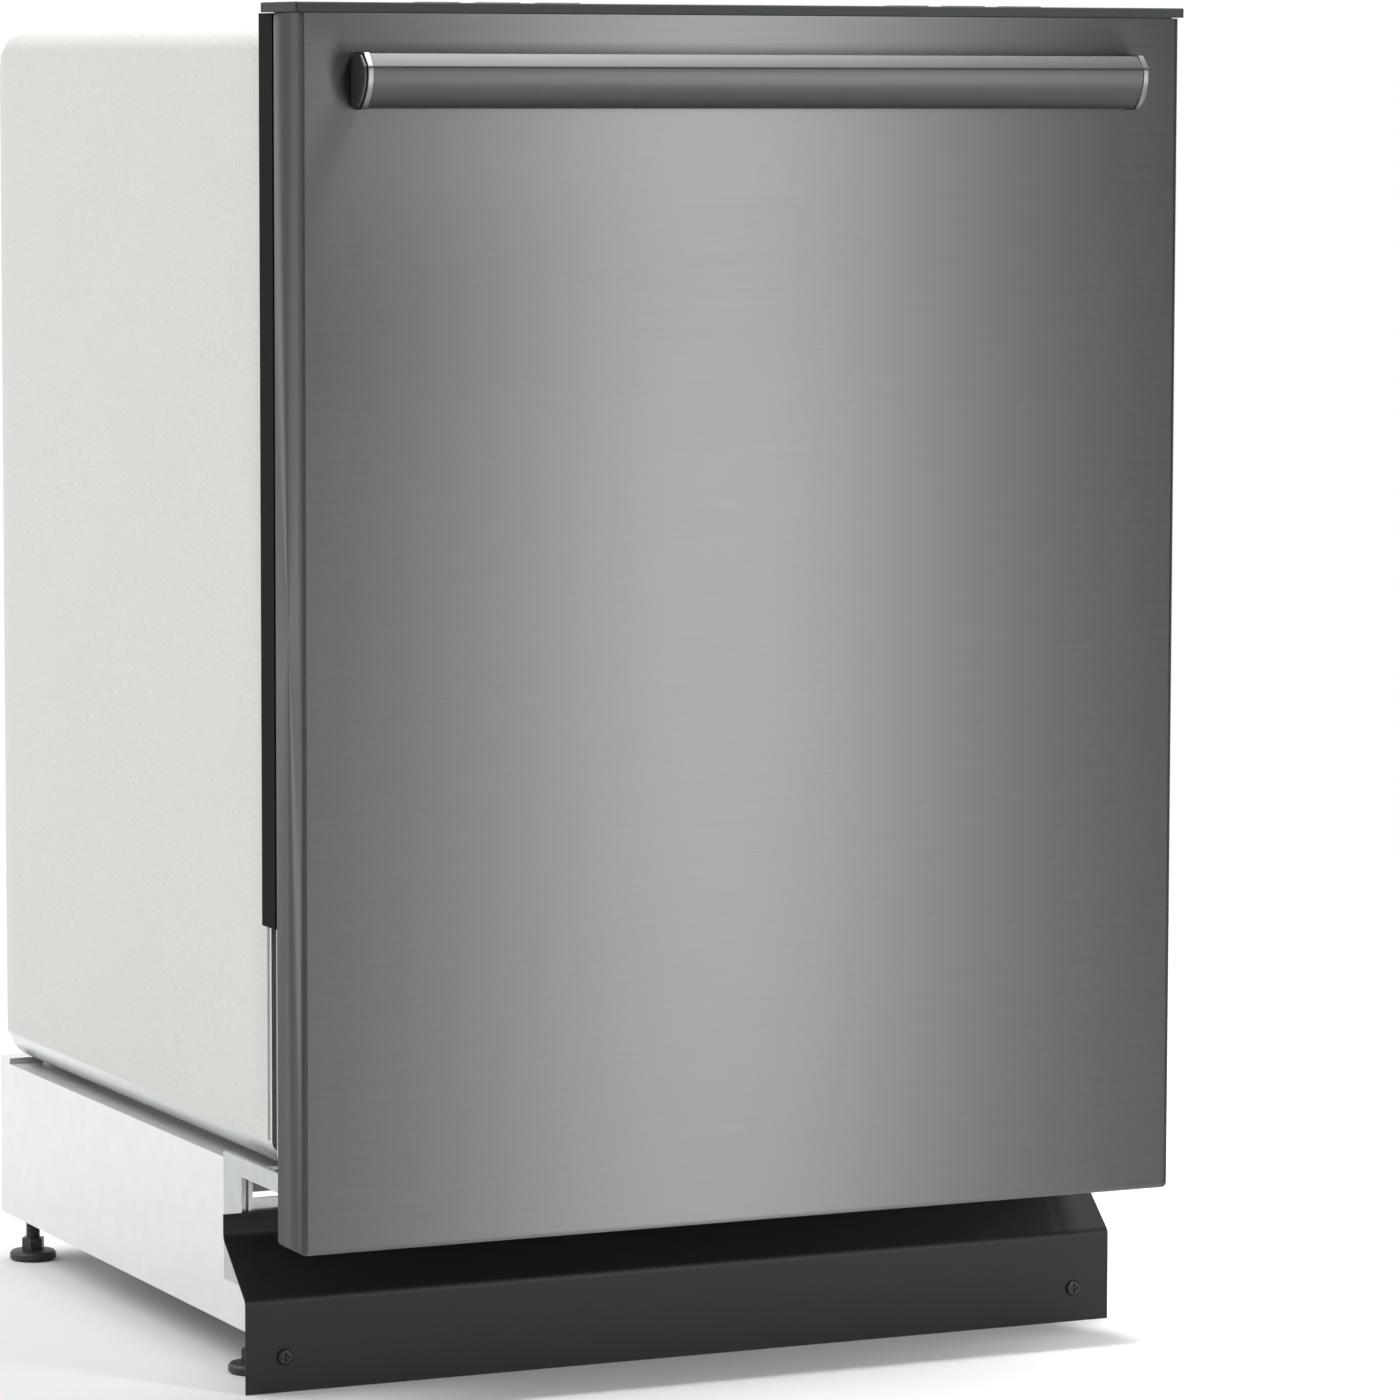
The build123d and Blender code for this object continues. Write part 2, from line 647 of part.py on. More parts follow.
# The drain hose runs from the pump to the rear and up the tub's back wall in its clips.
hose_radius = 8.0
hose_bend = 24.0
hose_x = -sump_hole - 20
hose_back = tub_rear + hose_radius + 0.4
hose_top = 520.0
hose_end = 57.0 - tub_side
hose_out = 330.0
with BuildPart() as drain_hose:
    with BuildLine() as hose_path:
        FilletPolyline(
            (hose_x, drain_y + 24.5, pump_high - 6),
            (hose_x, hose_back, pump_high - 6),
            (hose_x, hose_back, hose_top),
            (hose_end, hose_back, hose_top),
            (hose_end, hose_back, hose_out),
            radius=hose_bend,
        )
    with BuildSketch(Plane(hose_path.line @ 0, z_dir=hose_path.line % 0)):
        Circle(hose_radius)
        Circle(hose_radius - 2, mode=Mode.SUBTRACT)
    sweep()
save("drain_hose", drain_hose.part)

valve_x = tub_side - 87.0
valve_y = rear - 67.5
valve_low = 70.0
valve_high = 104.0
spud_radius = 13.2
with BuildPart() as inlet_valve:
    block((valve_x - 20, valve_x + 20), (valve_y - 18, valve_y + 18), (valve_low, valve_high))
    post(valve_x, valve_y, (valve_high, valve_high + 24), 13.0)
    post(valve_x, valve_y, (valve_low - 26, valve_low), spud_radius)
    post(valve_x, valve_y, (valve_low - 27, valve_low - 2), spud_radius - 4, Mode.SUBTRACT)
save("inlet_valve", inlet_valve.part)

box_x = (tub_side - 117, tub_side - 47)
box_y = (behind(base_front + 44), behind(base_front + 104))
box_z = (70.0, 112.0)
knockout = 11.0
box_wall = 2.0
with BuildPart() as junction_box:
    block(box_x, box_y, box_z)
    hollow = [(ends[0] + box_wall, ends[1] - box_wall) for ends in (box_x, box_y, box_z)]
    block(*hollow, Mode.SUBTRACT)
    post(
        (box_x[0] + box_x[1]) / 2,
        (box_y[0] + box_y[1]) / 2,
        (box_z[0] - 1, box_z[0] + box_wall + 1),
        knockout,
        Mode.SUBTRACT,
    )
save("junction_box", junction_box.part)

# ---- base ----------------------------------------------------------------------------------

leg_x = tub_side - rail_width / 2
leg_front = behind(base_front + 26)
leg_rear = rear - 30
boss = 5.0
tab_y = (behind(toe_depth + toe_sheet + 0.1), behind(toe_depth + toe_sheet + 3.1))
screw_x = width / 2 - 26.0
screw_z = 22.3

with BuildPart() as base_frame:
    rail_x = (tub_side - rail_width, tub_side)
    rail_y = (behind(base_front), rear)
    both_sides(rail_x, rail_y, (base_low, base_low + boss))
    both_sides((rail_x[1] - rail_sheet, rail_x[1]), rail_y, (base_low, base_high))
    both_sides(rail_x, rail_y, (base_high - rail_sheet, base_high))
    cross = (-tub_side, tub_side)
    block(cross, (rear - rail_sheet, rear), (base_low, base_high))
    front_y = behind(toe_back + 5)
    block(cross, (front_y, front_y + rail_sheet), (base_low, 116))
    both_sides((rail_x[0] - 8, rail_x[1]), tab_y, (10, base_low + boss))
    both_sides((rail_x[0] - 8, rail_x[1]), (tab_y[0], rail_y[0]), (base_low + 2, base_low + boss))
    both_sides(rail_x, (tub_rear, rear), (base_high, tub_low))
    for x in (-leg_x, leg_x):
        for y in (leg_front, leg_rear):
            post(x, y, (base_low - 1, base_low + boss + 1), leg_radius + running, Mode.SUBTRACT)
    for x in (-screw_x, screw_x):
        facing(x, (tab_y[0] - 1, tab_y[1] + 1), screw_z, screw_shank + 0.03, Mode.SUBTRACT)
save("base_frame", base_frame.part)

leg_places = {
    "front_left": (-leg_x, leg_front),
    "front_right": (leg_x, leg_front),
    "rear_left": (-leg_x, leg_rear),
    "rear_right": (leg_x, leg_rear),
}
for corner, (x, y) in leg_places.items():
    with BuildPart() as leg:
        with Locations((x, y, foot_height / 2)):
            Cylinder(foot_radius, foot_height)
        chamfer(leg.edges().group_by(Axis.Z)[-1], 1.5)
        with BuildSketch(Plane(origin=(x, y, foot_height))):
            RegularPolygon(8.0, 6)
        extrude(amount=8)
        post(x, y, (foot_height, leg_top), leg_radius)
    save(f"leg_{corner}", leg.part)

with BuildPart() as toe_kick:
    with BuildSketch(end_plane.offset(-width / 2)):
        with BuildLine():
            toe_line = Polyline(
                (behind(toe_depth), 0),
                (behind(toe_depth), toe_fold_low),
                (behind(toe_back), toe_fold_high),
                (behind(toe_back), toe_high),
            )
            offset(toe_line, amount=toe_sheet, side=Side.RIGHT, kind=Kind.INTERSECTION)
        make_face()
    extrude(amount=width)
    for x in (-screw_x, screw_x):
        facing(x, (behind(toe_depth - 1), tab_y[0]), screw_z, screw_shank + 0.1, Mode.SUBTRACT)
save("toe_kick", toe_kick.part)

head_radius = 5.2
with BuildPart() as toe_kick_screws:
    for x in (-screw_x, screw_x):
        facing(x, (behind(toe_depth - 2.0), behind(toe_depth)), screw_z, head_radius)
    fillet(toe_kick_screws.edges().group_by(Axis.Y)[0], 1.4)
    for x in (-screw_x, screw_x):
        facing(x, (behind(toe_depth), tab_y[1] + 4), screw_z, screw_shank)
        recess = (behind(toe_depth - 3), behind(toe_depth - 0.7))
        block((x - 2.8, x + 2.8), recess, (screw_z - 0.6, screw_z + 0.6), Mode.SUBTRACT)
        block((x - 0.6, x + 0.6), recess, (screw_z - 2.8, screw_z + 2.8), Mode.SUBTRACT)
save("toe_kick_screws", toe_kick_screws.part)

bracket_inner = tub_side + 1.0
bracket_sheet = 3.0
plate_front = behind(base_front + 2)
plate_back = behind(base_front + 34)
with BuildPart() as hinge_brackets:
    with BuildSketch(end_plane.offset(bracket_inner)):
        with BuildLine():
            Polyline(
                (behind(hinge_depth), hinge_height),
                (behind(hinge_depth), hinge_height + lobe_radius),
                (plate_back, hinge_height + lobe_radius),
                (plate_back, base_low + 30),
                (plate_front, base_low + 30),
                (plate_front, hinge_height),
                (behind(hinge_depth), hinge_height),
            )
        make_face()
        with Locations(hinge_place):
            Circle(lobe_radius)
    extrude(amount=bracket_sheet)
    lying((bracket_inner, arm_inner + arm_sheet + 1.5), *hinge_place, pin_radius)
    block((tub_side, bracket_inner), (plate_front + 4, plate_back - 4), (base_low + 34, base_high - 6))
    mirror(about=Plane.YZ)
save("hinge_brackets", hinge_brackets.part)

# Each door spring is hooked between the base's front and rear cross plates.
spring_x = rail_x[0] - 12
spring_z = 62.0
spring_radius = 7.5
spring_y = (rear - 257.5, rear - 147.5)
with BuildPart() as door_springs:
    for x in (-spring_x, spring_x):
        facing(x, spring_y, spring_z, spring_radius)
        facing(x, spring_y, spring_z, spring_radius - 1.8, Mode.SUBTRACT)
        facing(x, (front_y + rail_sheet, spring_y[0] + 4), spring_z, 1.6)
        facing(x, (spring_y[1] - 4, rear - rail_sheet), spring_z, 1.6)
        for y in spring_y:
            facing(x, (y - 1, y + 1), spring_z, spring_radius)
save("door_springs", door_springs.part)

# ---- spray arms ----------------------------------------------------------------------------

def spray_arm(name, radius, low, thick, bore, nozzles):
    """Flat two-bladed arm with a round hub and a row of jets on each blade."""
    with BuildPart() as arm:
        with BuildSketch(Plane(origin=(0, tub_middle, low))):
            SlotOverall(2 * radius, 2 * spray_hub - 18)
            Circle(spray_hub)
            Circle(bore + running, mode=Mode.SUBTRACT)
        extrude(amount=thick)
        chamfer(arm.faces().sort_by(Axis.Z)[-1].outer_wire().edges(), 2.0)
        with Locations((0, tub_middle, low + thick)):
            for step in range(nozzles):
                offset_x = spray_hub + 12 + step * (radius - spray_hub - 30) / (nozzles - 1)
                with Locations((offset_x, 0, 0), (-offset_x, 0, 0)):
                    Box(9, 3, 3, mode=Mode.SUBTRACT)
    save(name, arm.part)


spray_arm("lower_spray_arm", arm_radius, lower_arm_height, 12.0, 6.0, 6)
spray_arm("middle_spray_arm", arm_radius - 16, middle_arm_height, 11.0, 5.0, 6)
spray_arm("top_spray_arm", 120.0, top_arm_height - 6, 9.0, 4.0, 4)

# ---- racks ---------------------------------------------------------------------------------

rack_front = behind(liner_back + rack_front_room)
rack_back = back_inside - rack_rear_room
half_wire = wire / 2


def wires_along_x(places, half_length):
    """Wires across the rack at the given (y, z) places."""
    with Locations(*[(0, y, z) for y, z in places]):
        Box(2 * half_length, wire, wire)


def wires_along_y(places, front, back):
    """Wires from front to back at the given (x, z) places."""
    with Locations(*[(x, (front + back) / 2, z) for x, z in places]):
        Box(wire, back - front, wire)


def wires_upright(places, low, high):
    """Upright wires at the given (x, y) places."""
    with Locations(*[(x, y, (low + high) / 2) for x, y in places]):
        Box(wire, wire, high - low)


def spread(low, high, count):
    """Evenly spaced places from low to high."""
    return [low + (high - low) * step / (count - 1) for step in range(count)]


def rack_body(half, low, high, front, back, loops, floor_x, floor_y, tines):
    """Open wire basket: a floor grid, side loops, uprights and rows of tines."""
    inner = half - half_wire
    ends = (front + half_wire, back - half_wire)
    for z in loops:
        wires_along_x([(y, z) for y in ends], half)
        wires_along_y([(x, z) for x in (-inner, inner)], front, back)
    wires_along_y([(x, low + half_wire) for x in spread(-inner, inner, floor_x)], front, back)
    wires_along_x([(y, low + half_wire + 2) for y in spread(*ends, floor_y)], half)
    rows = spread(*ends, floor_y)
    uprights = [(x, y) for x in (-inner, inner) for y in rows]
    uprights += [(x, y) for x in spread(-inner, inner, floor_x)[1:-1] for y in ends]
    wires_upright(uprights, low, high)
    wires_upright(tines, low, low + 78)


axle_set_back = 126.0     # the front wheels stay in the tub when the door swings past
axle_z = floor_top + clearance + wheel_radius
axle_front = behind(liner_back + axle_set_back)
axle_rear = back_inside - 90
hanger_x = (wheel_outer - wheel_width - 6, wheel_outer - wheel_width - 2)
rack_rows = spread(rack_front + half_wire, rack_back - half_wire, 9)
lower_columns = spread(half_wire - lower_rack_side, lower_rack_side - half_wire, 11)

with BuildPart() as lower_rack:
    rack_body(
        lower_rack_side,
        lower_rack_low,
        lower_rack_high,
        rack_front,
        rack_back,
        (lower_rack_low + half_wire, lower_rack_low + 70, lower_rack_high - half_wire),
        11,
        9,
        [(x, y) for x in lower_columns[1:8] for y in (rack_rows[2], rack_rows[4], rack_rows[6])],
    )
    wires_along_x([(y, lower_rack_low + half_wire + 2) for y in (axle_front, axle_rear)], lower_rack_side)
    for y in (axle_front, axle_rear):
        both_sides(hanger_x, (y - 9, y + 9), (axle_z - 7, lower_rack_low + wire))
        lying((hanger_x[0], wheel_outer + 1.5), y, axle_z, axle_radius)
        lying((-wheel_outer - 1.5, -hanger_x[0]), y, axle_z, axle_radius)
save("lower_rack", lower_rack.part)

for name, y in (("front", axle_front), ("rear", axle_rear)):
    with BuildPart() as wheels:
        for x in ((wheel_outer - wheel_width, wheel_outer), (-wheel_outer, wheel_width - wheel_outer)):
            lying(x, y, axle_z, wheel_radius)
        chamfer(wheels.edges().filter_by(GeomType.CIRCLE), 1.2)
        for x in ((wheel_outer - wheel_width, wheel_outer), (-wheel_outer, wheel_width - wheel_outer)):
            lying((x[0] - 1, x[1] + 1), y, axle_z, axle_radius + running, Mode.SUBTRACT)
    save(f"lower_wheels_{name}", wheels.part)

basket_x = (lower_columns[8] + 8, lower_rack_side - wire - 6)
basket_y = (rack_rows[1] + 6, rack_rows[1] + 236)
basket_low = lower_rack_low + 2 * wire + 2
basket_high = basket_low + 118
basket_wall = 2.4
cells = 4
with BuildPart() as silverware_basket:
    block(basket_x, basket_y, (basket_low, basket_high))
    pitch = (basket_y[1] - basket_y[0] - basket_wall) / cells
    for cell in range(cells):
        cell_y = basket_y[0] + basket_wall + cell * pitch
        block(
            (basket_x[0] + basket_wall, basket_x[1] - basket_wall),
            (cell_y, cell_y + pitch - basket_wall),
            (basket_low + basket_wall, basket_high + 1),
            Mode.SUBTRACT,
        )
    middle_x = (basket_x[0] + basket_x[1]) / 2
    grip_y = ((basket_y[0] + basket_y[1]) / 2 - 55, (basket_y[0] + basket_y[1]) / 2 + 55)
    for y in grip_y:
        block((middle_x - 3, middle_x + 3), (y - 3, y + 3), (basket_high - 40, basket_high + 45))
    bar_y = (grip_y[0] - 3, grip_y[1] + 3)
    block((middle_x - 7, middle_x + 7), bar_y, (basket_high + 39, basket_high + 45))
save("silverware_basket", silverware_basket.part)

upper_columns = spread(half_wire - upper_rack_side, upper_rack_side - half_wire, 11)
runner_x = (tub_inside - 11.6, tub_inside - 7.4)
with BuildPart() as upper_rack:
    rack_body(
        upper_rack_side,
        upper_rack_low,
        upper_rack_high,
        rack_front,
        rack_back,
        (upper_rack_low + half_wire, upper_rack_low + 60, upper_rack_high - half_wire),
        11,
        9,
        [(x, y) for x in upper_columns[3:8:2] for y in rack_rows[1:8:2]],
    )
    for y in (rack_rows[1], rack_rows[7]):
        lug_z = (slide_middle - 10, slide_middle + 10)
        both_sides((upper_rack_side - 0.5, runner_x[0]), (y - 12, y + 12), lug_z)
    post(0, tub_middle, (middle_arm_height - 4, upper_rack_low + 1), 5.0)
    post(0, tub_middle, (middle_arm_height + 13, upper_rack_low + 1), 13.0)
    post(0, tub_middle, (middle_arm_height - 9, middle_arm_height - 3), 12.0)
save("upper_rack", upper_rack.part)

slide_y = (rack_front + 4, rack_back)
track_wall = 1.5
with BuildPart() as rack_runners:
    runner_half = slide_height / 2 - 8
    both_sides(runner_x, slide_y, (slide_middle - runner_half, slide_middle + runner_half))
save("rack_runners", rack_runners.part)

with BuildPart() as rack_slides:
    half = slide_height / 2 - track_wall - clearance - 0.3
    slide_x = (runner_x[0] - 2, tub_inside - track_wall - clearance)
    both_sides(slide_x, slide_y, (slide_middle - half, slide_middle + half))
    both_sides(
        (slide_x[0] - 1, slide_x[1] - track_wall - 2),
        (slide_y[0] - 1, slide_y[1] + 1),
        (slide_middle - half + track_wall, slide_middle + half - track_wall),
        Mode.SUBTRACT,
    )
save("rack_slides", rack_slides.part)

with BuildPart() as rack_tracks:
    track_half = slide_height / 2
    track_z = (slide_middle - track_half, slide_middle + track_half)
    both_sides((slide_x[0] + 2, tub_inside), slide_y, track_z)
    both_sides(
        (slide_x[0] + 1, tub_inside - track_wall),
        (slide_y[0] - 1, slide_y[1] + 1),
        (track_z[0] + track_wall, track_z[1] - track_wall),
        Mode.SUBTRACT,
    )
save("rack_tracks", rack_tracks.part)

shelf_x = (-upper_rack_side + wire + 5, -upper_rack_side + wire + 95)
shelf_z = upper_rack_low + 62.0 + wire
shelf_y = (rack_rows[1] + 6, rack_rows[6] - 6)
with BuildPart() as cup_shelf:
    wires_along_y([(x, shelf_z + half_wire) for x in spread(*shelf_x, 4)[1:]], *shelf_y)
    facing(shelf_x[0], shelf_y, shelf_z + half_wire, half_wire)
    for y in spread(shelf_y[0] + 4, shelf_y[1] - 4, 6):
        slat_x = (shelf_x[0], shelf_x[1] + half_wire)
        block(slat_x, (y - 1.5, y + 1.5), (shelf_z, shelf_z + wire))
save("cup_shelf", cup_shelf.part)
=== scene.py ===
import math

import bmesh
import bpy
import numpy as np
from mathutils import Matrix, Vector


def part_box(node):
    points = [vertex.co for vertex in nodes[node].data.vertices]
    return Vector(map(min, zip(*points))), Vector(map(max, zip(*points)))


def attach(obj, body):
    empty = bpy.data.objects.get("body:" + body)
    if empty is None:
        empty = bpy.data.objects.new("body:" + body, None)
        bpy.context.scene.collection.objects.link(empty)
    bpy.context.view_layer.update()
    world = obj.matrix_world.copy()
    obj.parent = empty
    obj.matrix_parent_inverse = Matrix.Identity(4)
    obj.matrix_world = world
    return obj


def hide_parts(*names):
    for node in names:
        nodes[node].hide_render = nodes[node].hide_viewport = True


# A built-in dishwasher: dark brushed door, bar handle, black toe kick, pale felt round the tub.
# Everything is in metres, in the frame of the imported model: the door faces -Y, +Z is up.

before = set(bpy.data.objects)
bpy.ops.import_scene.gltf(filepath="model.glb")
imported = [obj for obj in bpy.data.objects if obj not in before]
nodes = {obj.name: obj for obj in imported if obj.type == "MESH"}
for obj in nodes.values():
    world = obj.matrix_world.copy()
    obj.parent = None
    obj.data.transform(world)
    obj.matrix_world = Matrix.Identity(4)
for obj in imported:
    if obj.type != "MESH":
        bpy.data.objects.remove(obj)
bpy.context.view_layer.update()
MM = 0.001


# ---- meshes --------------------------------------------------------------------------------

def mesh_piece(name, points, faces, material, body, replaced=(), slot=None, smooth=35.0):
    """Object from an array of points and a list of faces, riding on a body."""
    mesh = bpy.data.meshes.new(name)
    corners = np.asarray(points, float).reshape(-1, 3).tolist()
    mesh.from_pydata(corners, [], [list(map(int, face)) for face in faces])
    mesh.validate()
    mesh.polygons.foreach_set("use_smooth", np.ones(len(mesh.polygons), bool))
    mesh.set_sharp_from_angle(angle=math.radians(smooth))
    mesh.materials.append(material)
    piece = bpy.data.objects.new(name, mesh)
    bpy.context.scene.collection.objects.link(piece)
    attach(piece, body)
    if replaced:
        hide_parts(*replaced)
    return piece


def grid_faces(rows, columns, closed_rows=False, closed_columns=False, start=0):
    """Quads of a grid stored row by row; a closed direction joins its end to its start."""
    r = np.arange(rows if closed_rows else rows - 1)
    c = np.arange(columns if closed_columns else columns - 1)
    r, c = (a.ravel() for a in np.meshgrid(r, c, indexing="ij"))
    r2, c2 = (r + 1) % rows, (c + 1) % columns
    quads = [r * columns + c, r2 * columns + c, r2 * columns + c2, r * columns + c2]
    return (np.stack(quads, 1) + start).tolist()


def join_parts(parts):
    """One array of points and one list of faces from several (points, faces) pairs."""
    points, faces, count = [], [], 0
    for part_points, part_faces in parts:
        part_points = np.asarray(part_points, float).reshape(-1, 3)
        faces += [[int(i) + count for i in face] for face in part_faces]
        points.append(part_points)
        count += len(part_points)
    return np.concatenate(points), faces


def rounded_path(corners, radius, closed=False, steps=5):
    """Points along a polyline whose corners are arcs of the given radius: each corner is left at
    the tangent points and filled by the circle through them, sampled evenly in angle."""
    corners = np.asarray(corners, float)
    count = len(corners)
    out = []
    for i in range(count):
        if not closed and i in (0, count - 1):
            out.append(corners[i][None])
            continue
        here, before, after = corners[i], corners[i - 1], corners[(i + 1) % count]
        a = (before - here) / np.linalg.norm(before - here)
        b = (after - here) / np.linalg.norm(after - here)
        half = 0.5 * math.acos(float(np.clip(a @ b, -1, 1)))
        reach = radius / math.tan(half)
        centre = here + (a + b) / np.linalg.norm(a + b) * radius / math.sin(half)
        start, end = here + a * reach - centre, here + b * reach - centre
        turn = math.pi - 2 * half
        t = np.linspace(0, 1, steps)[:, None]
        arc = (np.sin((1 - t) * turn) * start + np.sin(t * turn) * end) / math.sin(turn)
        out.append(centre + arc)
    return np.concatenate(out)


def tube(path, radius, sides=8, closed=False, capped=True):
    """Round tube along a path: at each point a circle square to the path, turned as little as
    possible from the last one. radius may be one number or one per point."""
    path = np.asarray(path, float)
    ahead = np.roll(path, -1, 0) - path
    back = path - np.roll(path, 1, 0)
    if not closed:
        ahead[-1], back[0] = back[-1], ahead[0]
    tangent = ahead / np.linalg.norm(ahead, axis=1)[:, None] + back / np.linalg.norm(back, axis=1)[:, None]
    tangent /= np.linalg.norm(tangent, axis=1)[:, None]
    side = np.zeros_like(path)
    seed = np.eye(3)[np.argmin(np.abs(tangent[0]))]
    for i in range(len(path)):
        seed = seed - tangent[i] * (seed @ tangent[i])
        seed /= np.linalg.norm(seed)
        side[i] = seed
    other = np.cross(tangent, side)
    angle = np.linspace(0, 2 * math.pi, sides, endpoint=False)
    spread = np.broadcast_to(np.asarray(radius, float), (len(path),))[:, None, None]
    ring = np.cos(angle)[None, :, None] * side[:, None] + np.sin(angle)[None, :, None] * other[:, None]
    points = path[:, None] + spread * ring
    faces = grid_faces(len(path), sides, closed_rows=closed, closed_columns=True)
    faces = [f[::-1] for f in faces]
    if capped and not closed:
        faces.append(list(range(sides))[::-1])
        last = (len(path) - 1) * sides
        faces.append([last + i for i in range(sides)])
    return points.reshape(-1, 3), faces


def extrusion(profile, start, end, axis=0):
    """Closed profile of (first, second) points of the other two axes, carried along one axis."""
    profile = np.asarray(profile, float)
    order = [1, 2] if axis == 0 else [0, 2] if axis == 1 else [0, 1]
    points = np.zeros((2, len(profile), 3))
    points[:, :, order] = profile
    points[0, :, axis], points[1, :, axis] = start, end
    faces = grid_faces(2, len(profile), closed_columns=True)
    caps = [list(range(len(profile)))[::-1], [len(profile) + i for i in range(len(profile))]]
    return points.reshape(-1, 3), faces + caps


def outward(piece):
    """Turn every face of a closed piece to the outside."""
    work = bmesh.new()
    work.from_mesh(piece.data)
    bmesh.ops.recalc_face_normals(work, faces=work.faces)
    work.to_mesh(piece.data)
    work.free()
    return piece


def rounded_edges(piece, width, segments=3):
    """Bevelled sharp edges."""
    bevel = piece.modifiers.new("edges", "BEVEL")
    bevel.width = width
    bevel.segments = segments
    bevel.limit_method = "ANGLE"
    bevel.angle_limit = math.radians(40)
    bevel.harden_normals = False
    return piece


# ---- materials -----------------------------------------------------------------------------

def colour(code):
    """Linear red, green, blue and alpha of an sRGB hex code."""
    values = np.array([int(code[i:i + 2], 16) for i in (1, 3, 5)]) / 255
    linear = np.where(values <= 0.04045, values / 12.92, ((values + 0.055) / 1.055) ** 2.4)
    return (*linear.tolist(), 1.0)


def add_node(tree, kind, inputs=None, **settings):
    """One node with its settings; an input is a value, or another node's output socket."""
    node = tree.nodes.new(kind)
    for key, value in settings.items():
        setattr(node, key, value)
    for key, value in (inputs or {}).items():
        if isinstance(value, bpy.types.NodeSocket):
            tree.links.new(value, node.inputs[key])
        else:
            node.inputs[key].default_value = value
    return node


def new_material(name):
    """Empty material with its output; returns the material and its node tree."""
    material = bpy.data.materials.new(name)
    material.use_nodes = True
    tree = material.node_tree
    tree.nodes.clear()
    return material, tree


def surface(tree, shader):
    """Send the shader to the output."""
    output = tree.nodes.new("ShaderNodeOutputMaterial")
    tree.links.new(shader.outputs["BSDF"], output.inputs["Surface"])


def stretched_noise(tree, millimetres, detail=3.0):
    """Noise whose grain is this many millimetres long in X, Y and Z."""
    place = add_node(tree, "ShaderNodeTexCoord")
    scale = tuple(1000.0 / size for size in millimetres)
    mapped = add_node(tree, "ShaderNodeMapping", {"Vector": place.outputs["Object"], "Scale": scale})
    return add_node(tree, "ShaderNodeTexNoise", {
        "Vector": mapped.outputs["Vector"], "Scale": 1.0, "Detail": detail})


def brushed_steel(name, dark, light, roughness, grain, coat=0.0, anisotropy=0.0, about="X", bump=0.04):
    """Steel rubbed one way: fine long scratches vary its tone, roughness and height."""
    material, tree = new_material(name)
    scratches = stretched_noise(tree, grain, 4.0)
    tone = add_node(tree, "ShaderNodeMix", {"Factor": scratches.outputs["Fac"]}, data_type="RGBA")
    for key, value in ((6, colour(dark)), (7, colour(light))):
        tone.inputs[key].default_value = value
    rough = add_node(tree, "ShaderNodeMapRange", {
        "Value": scratches.outputs["Fac"], "To Min": roughness - 0.04, "To Max": roughness + 0.05})
    height = add_node(tree, "ShaderNodeBump", {
        "Height": scratches.outputs["Fac"], "Strength": bump, "Distance": 0.0002})
    shader = add_node(tree, "ShaderNodeBsdfPrincipled", {
        "Base Color": tone.outputs[2], "Metallic": 1.0, "Roughness": rough.outputs["Result"],
        "Anisotropic": anisotropy, "Coat Weight": coat, "Coat Roughness": 0.25,
        "Normal": height.outputs["Normal"]})
    if anisotropy:
        direction = add_node(tree, "ShaderNodeTangent", direction_type="RADIAL", axis=about)
        tree.links.new(direction.outputs["Tangent"], shader.inputs["Tangent"])
    surface(tree, shader)
    return material


def moulded(name, tone, roughness=0.42, grain=0.9, bump=0.12, variation=0.08, specular=0.5):
    """Moulded plastic or rubber: a fine spark-eroded texture and a slight unevenness of tone."""
    material, tree = new_material(name)
    fine = stretched_noise(tree, (grain, grain, grain), 2.0)
    broad = stretched_noise(tree, (45, 45, 45), 2.0)
    base = colour(tone)
    darker = tuple(c * (1 - variation) for c in base[:3]) + (1.0,)
    lighter = tuple(min(1.0, c * (1 + variation)) for c in base[:3]) + (1.0,)
    mix = add_node(tree, "ShaderNodeMix", {"Factor": broad.outputs["Fac"]}, data_type="RGBA")
    mix.inputs[6].default_value, mix.inputs[7].default_value = darker, lighter
    rough = add_node(tree, "ShaderNodeMapRange", {
        "Value": fine.outputs["Fac"], "To Min": roughness - 0.05, "To Max": roughness + 0.07})
    height = add_node(tree, "ShaderNodeBump", {
        "Height": fine.outputs["Fac"], "Strength": bump, "Distance": 0.0002})
    shader = add_node(tree, "ShaderNodeBsdfPrincipled", {
        "Base Color": mix.outputs[2], "Roughness": rough.outputs["Result"],
        "Specular IOR Level": specular, "Normal": height.outputs["Normal"]})
    surface(tree, shader)
    return material


def felt(name, tone):
    """Needled polyester felt: tangled fibres about a third of a millimetre wide, drawn 2 mm wide
    so that they show, with a soft sheen."""
    material, tree = new_material(name)
    fibres = stretched_noise(tree, (2.0, 2.0, 2.0), 6.0)
    lumps = stretched_noise(tree, (30, 30, 30), 3.0)
    base = colour(tone)
    mix = add_node(tree, "ShaderNodeMix", {"Factor": fibres.outputs["Fac"]}, data_type="RGBA")
    mix.inputs[6].default_value = tuple(c * 0.72 for c in base[:3]) + (1.0,)
    mix.inputs[7].default_value = base
    both = add_node(
        tree, "ShaderNodeMath", {0: fibres.outputs["Fac"], 1: lumps.outputs["Fac"]}, operation="ADD")
    height = add_node(tree, "ShaderNodeBump", {
        "Height": both.outputs["Value"], "Strength": 0.35, "Distance": 0.001})
    shader = add_node(tree, "ShaderNodeBsdfPrincipled", {
        "Base Color": mix.outputs[2], "Roughness": 0.95, "Sheen Weight": 0.3, "Sheen Roughness": 0.6,
        "Normal": height.outputs["Normal"]})
    surface(tree, shader)
    return material


